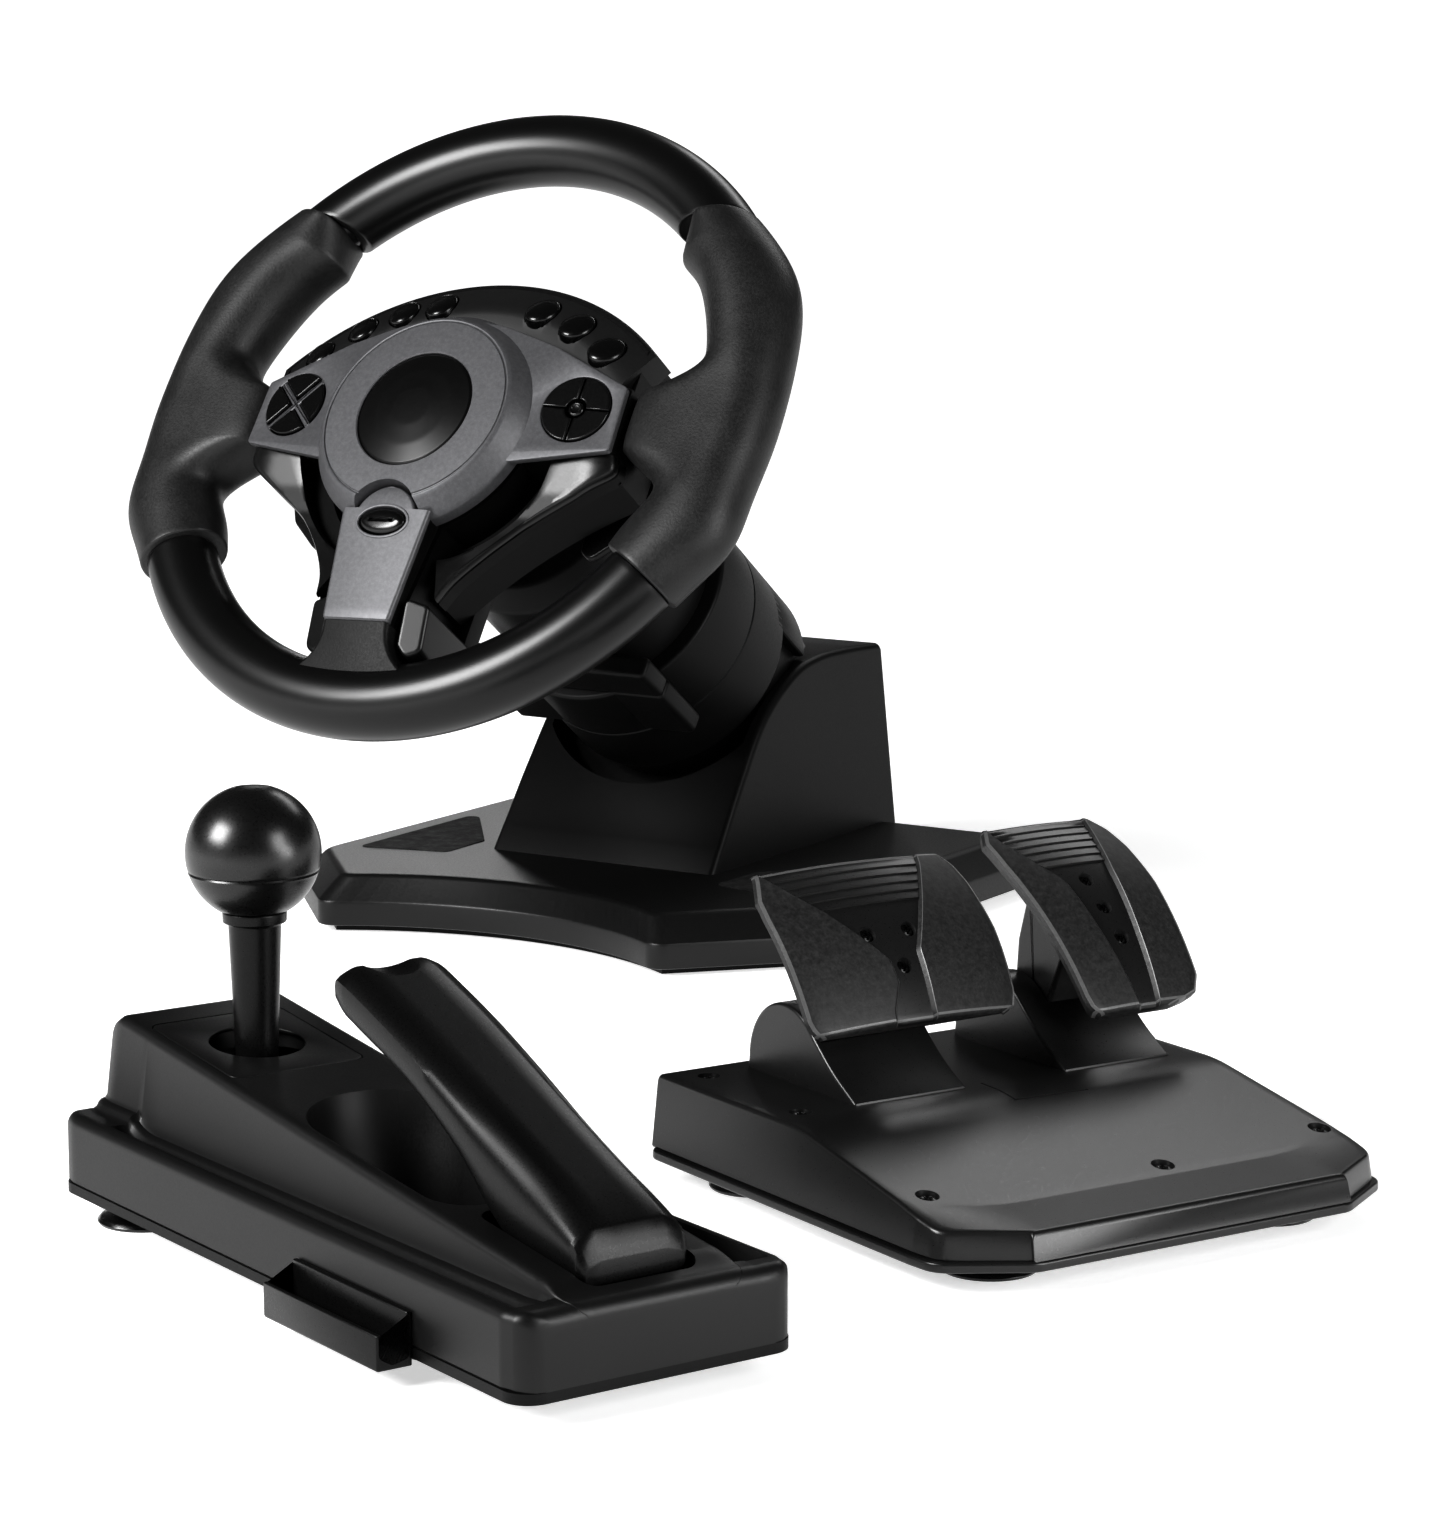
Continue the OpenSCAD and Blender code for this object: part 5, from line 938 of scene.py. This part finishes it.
# Side clip: a channel screwed to the side of the box to hold a cable or a clamp.
# Black ABS, moulded in one length with square-cut ends.
channel = soft([[-44.05, 5], [-44.05, 20], [-45.8, 20], [-45.8, 8], [-50, 7], [-53.4, 9], [-53.4, 15],
                [-55, 15], [-55, 5]], [0.4, 0.6, 0.6, 0.8, 0.8, 0.8, 0.6, 0.6, 0.8], 4)
bracket = block(channel, 52, 112, 0.4, 0.4, 3)[..., [0, 2, 1]]
piece("clip_channel", on_shifter, [bracket], satin_abs, "stands", "matt_black", "side_clip")

# Gear stick and knob: a tapering stem in a gimbal, and a ball with a seam and a flat cap.
# Black ABS; the ball is polished, so it shows the lights as soft windows.
stem = turning([[0, 21], [6, 21], [6, 32.5], [5.6, 33], [7.8, 92], [9.4, 92.3], [9.5, 95.5], [7, 96],
                [5.9, 107], [0, 107]], [0, 0.5, 0.5, 0.3, 1, 0.4, 0.6, 0.4, 0.3, 0], 48, (STICK_X, STICK_Y))
cross_pin = rod(2, -12.6, 12.6, 0.3, 24)[..., [0, 2, 1]] + [STICK_X, STICK_Y, 27]
piece("gear_stem", on_shifter, [stem, cross_pin], satin_abs, "stick", "satin_black", "shift_stick")
ball_a = np.radians(np.concatenate([np.linspace(-58, -18, 24), np.linspace(-14.2, 71.8, 50)]))
ball_arc = 20 * np.c_[np.cos(ball_a), np.sin(ball_a)]
ball = np.concatenate([[[6.1, -17], [10, -17]], ball_arc[:24], [[19.2, -5.9], [18.9, -5.4], [19.2, -5.1]],
                       ball_arc[24:], [[5.9, 18.75], [5.5, 18.95], [0.02, 19.0]]])
knob_abs = grained("polished_black_knob", "#070707", "#0c0c0c", 0.8, 0.002, 0.29, spread=0.03)
piece("gear_ball", on_shifter, [lathe(ball + [0, 113], 96, (STICK_X, STICK_Y))], knob_abs, "stick",
      "gloss_black", "shift_knob")

# Handbrake lever: a curved handle in a slot, with a flat top, sloping shoulders and a thumb dish.
# Satin black ABS in one piece, hinged on a steel pin in the box.
LEVER_Y, LEVER_Z = 34.0, 26.0


def handle():
    """Sections along the handle: between an upper and an under line each one has a flat top, chamfered
    shoulders, upright sides and a rounded underside; the last ones draw in to a round tip."""
    over = through([[12.6, 37], [13.6, 40.5], [15.2, 44.2], [17.4, 46.2], [26, 50.6], [40, 56.6], [60, 64.8],
                    [82, 73.8], [105, 83.0], [126, 90.6], [133, 92.6], [136.6, 92.4], [138.8, 89.8]], 6)
    below = through([[12.6, 31], [14, 31], [16, 31], [19, 31], [30, 31], [44, 32], [56, 38.6], [72, 52.6],
                     [97, 66.6], [124, 76.4], [131, 79], [135.4, 81.6], [137.6, 84.4]], 6)
    h = np.array([0, 0.02, 0.1, 0.25, 0.55, 0.72, 0.84, 0.92, 0.97, 1.0, 1.0])
    x = np.array([12, 14.6, 16.6, 17.3, 17.3, 16.9, 15.4, 13.4, 12.0, 10.6, 5])
    n = len(over)
    draw = np.interp(np.arange(n), [0, 3, 9, n - 13, n - 5, n - 1], [0.9, 0.95, 1, 1, 0.97, 0.9])[:, None]
    x, h = np.concatenate([x, -x[::-1]]), np.concatenate([h, h[::-1]])
    yz = below[:, None] + (over - below)[:, None] * h[:, None]
    return np.concatenate([(draw * x)[..., None], yz], -1)


boss = rod(8.9, -14.4, 14.4, 0.6)[..., [2, 0, 1]] + [0, LEVER_Y, LEVER_Z]
grip_bar = piece("brake_handle", on_shifter, [handle()], satin_abs, "handbrake", "satin_black",
                 "handbrake_lever")
piece("brake_boss", on_shifter, [boss], satin_abs, "handbrake", "satin_black")
round_a = np.linspace(np.radians(-89), np.radians(89), 20)
dish = lathe(np.c_[np.cos(round_a), np.sin(round_a)], 48) * [9.5, 12, 5]
dish_y, dish_z, lean_c, lean_s = 137, 95.6, 0.94, 0.34
cut(grip_bar, on_shifter, np.stack([dish[..., 0], dish_y + dish[..., 1] * lean_c - dish[..., 2] * lean_s,
                                    dish_z + dish[..., 1] * lean_s + dish[..., 2] * lean_c], -1))

# Suction cups: twelve soft feet, four under each unit, pressed into sockets in the floors.
# Black PVC, glossy from the mould, so the lips show as thin bright lines.


def cup(h, spot):
    """A cup of height h at a spot: a thin lip on the floor that sweeps up to a neck, turned on the lathe."""
    line = [[0.01, 0.4], [12.5, 0.3], [14, 0], [14.5, 0.9], [13.4, 2.2], [7, 4.4], [5.4, h], [0.01, h]]
    return turning(line, [0, 2, 0.3, 0.3, 2, 2, 0.2, 0], 48, spot)


feet = []
for place, high, spots in ((on_floor, 8, ((-60, -68), (60, -68), (-96, 84), (96, 84))),
                           (on_pedals, 7, ((-52, 30), (52, 30), (-60, 140), (60, 140))),
                           (on_shifter, 7, ((-20, 74), (20, 74), (-28, 232), (26, 228)))):
    feet += [place(cup(high, spot)) for spot in spots]
glossy_pvc = grained("glossy_black_pvc", "#050505", "#0a0a0a", 0.8, 0.003, 0.22)
piece("sucker_feet", on_floor, feet, glossy_pvc, "stands", "gloss_black", "suction_cups")

# Studio: a glowing white table, soft lamps left, right and behind, two small ones and the photo's camera.
# The table's white is partly painted light: it glows by itself, more towards its far corners, so it stays
# white there and keeps soft shadows.
# One small lamp grazes the base's top from behind, the other lifts the near end of the gear unit.
table_glow = blank("painted_glow_white_table")
# Painted light: the glow is weakest near the middle and rises towards the far corners.
far = add(table_glow, "VectorMath", {0: add(table_glow, "TexCoord").outputs["Object"]}, operation="LENGTH")
power = add(table_glow, "MapRange", {"Value": far.outputs["Value"]}, From_Min=0.6, From_Max=2.6,
            To_Min=0.62, To_Max=1.05)
glow = add(table_glow, "Emission", {"Strength": power.outputs[0]}, Color=(1, 1, 1, 1))
matt = add(table_glow, "BsdfDiffuse", Color=linear("#e4e4e4"))
both = add(table_glow, "AddShader", {0: glow.outputs[0], 1: matt.outputs[0]})
add(table_glow, "OutputMaterial", {"Surface": both.outputs[0]})
table_r = np.array([0.02, 4.0, 9.0, 9.6, 10.0, 10.2, 10.2])
table_z = np.array([0, 0, 0, 0.06, 0.24, 0.5, 0.9]) * 1000
table = solid("table", on_floor, [skin(lathe(np.c_[table_r * 1000, table_z], 96), caps=False)], table_glow)


def lamp(name, at, target, width, height, power, beam=180):
    """A rectangular soft light at a place, facing a target; a grid narrows it to a beam in degrees."""
    data = bpy.data.lights.new(name, "AREA")
    data.shape, data.size, data.size_y = "RECTANGLE", width, height
    data.energy, data.spread = power, np.radians(beam)
    obj = shown(name, data)
    obj.location = at
    obj.rotation_euler = (Vector(target) - Vector(at)).to_track_quat("-Z", "Y").to_euler()
    return obj


lamps = [lamp("left", (-0.7, -1.8, 1.12), (0.2, -0.3, 0.12), 0.9, 0.8, 84),
         lamp("right", (2.2, -0.6, 0.95), (0.2, -0.3, 0.1), 0.8, 1.0, 30),
         lamp("back", (0.05, 1.36, 1.3), (0.38, -0.3, 0.0), 1.1, 0.4, 6.5),
         lamp("base", (-1.35, 1.7, 0.75), (-0.06, -0.08, 0.02), 0.4, 0.3, 0.018, 12),
         lamp("front", (1.3, -0.35, 0.2), (0.36, -0.5, 0.03), 0.4, 0.3, 0.7, 70)]
world = bpy.data.worlds.new("studio")
world.use_nodes = True
sky = world.node_tree.nodes["Background"].inputs
sky["Color"].default_value, sky["Strength"].default_value = (1, 1, 1, 1), 0.06
scene = bpy.context.scene
scene.world = world
scene.view_settings.view_transform, scene.view_settings.gamma = "Standard", 0.82
eye = bpy.data.cameras.new("camera")
eye.lens, eye.sensor_width, eye.sensor_fit = 105.007, 36.0, "HORIZONTAL"
camera = shown("camera", eye)
camera.location = (0.9107, -1.4161, 0.3463)
camera.rotation_euler = Euler((np.radians(80.35), 0, np.radians(31.68)))
bpy.context.scene.camera = camera
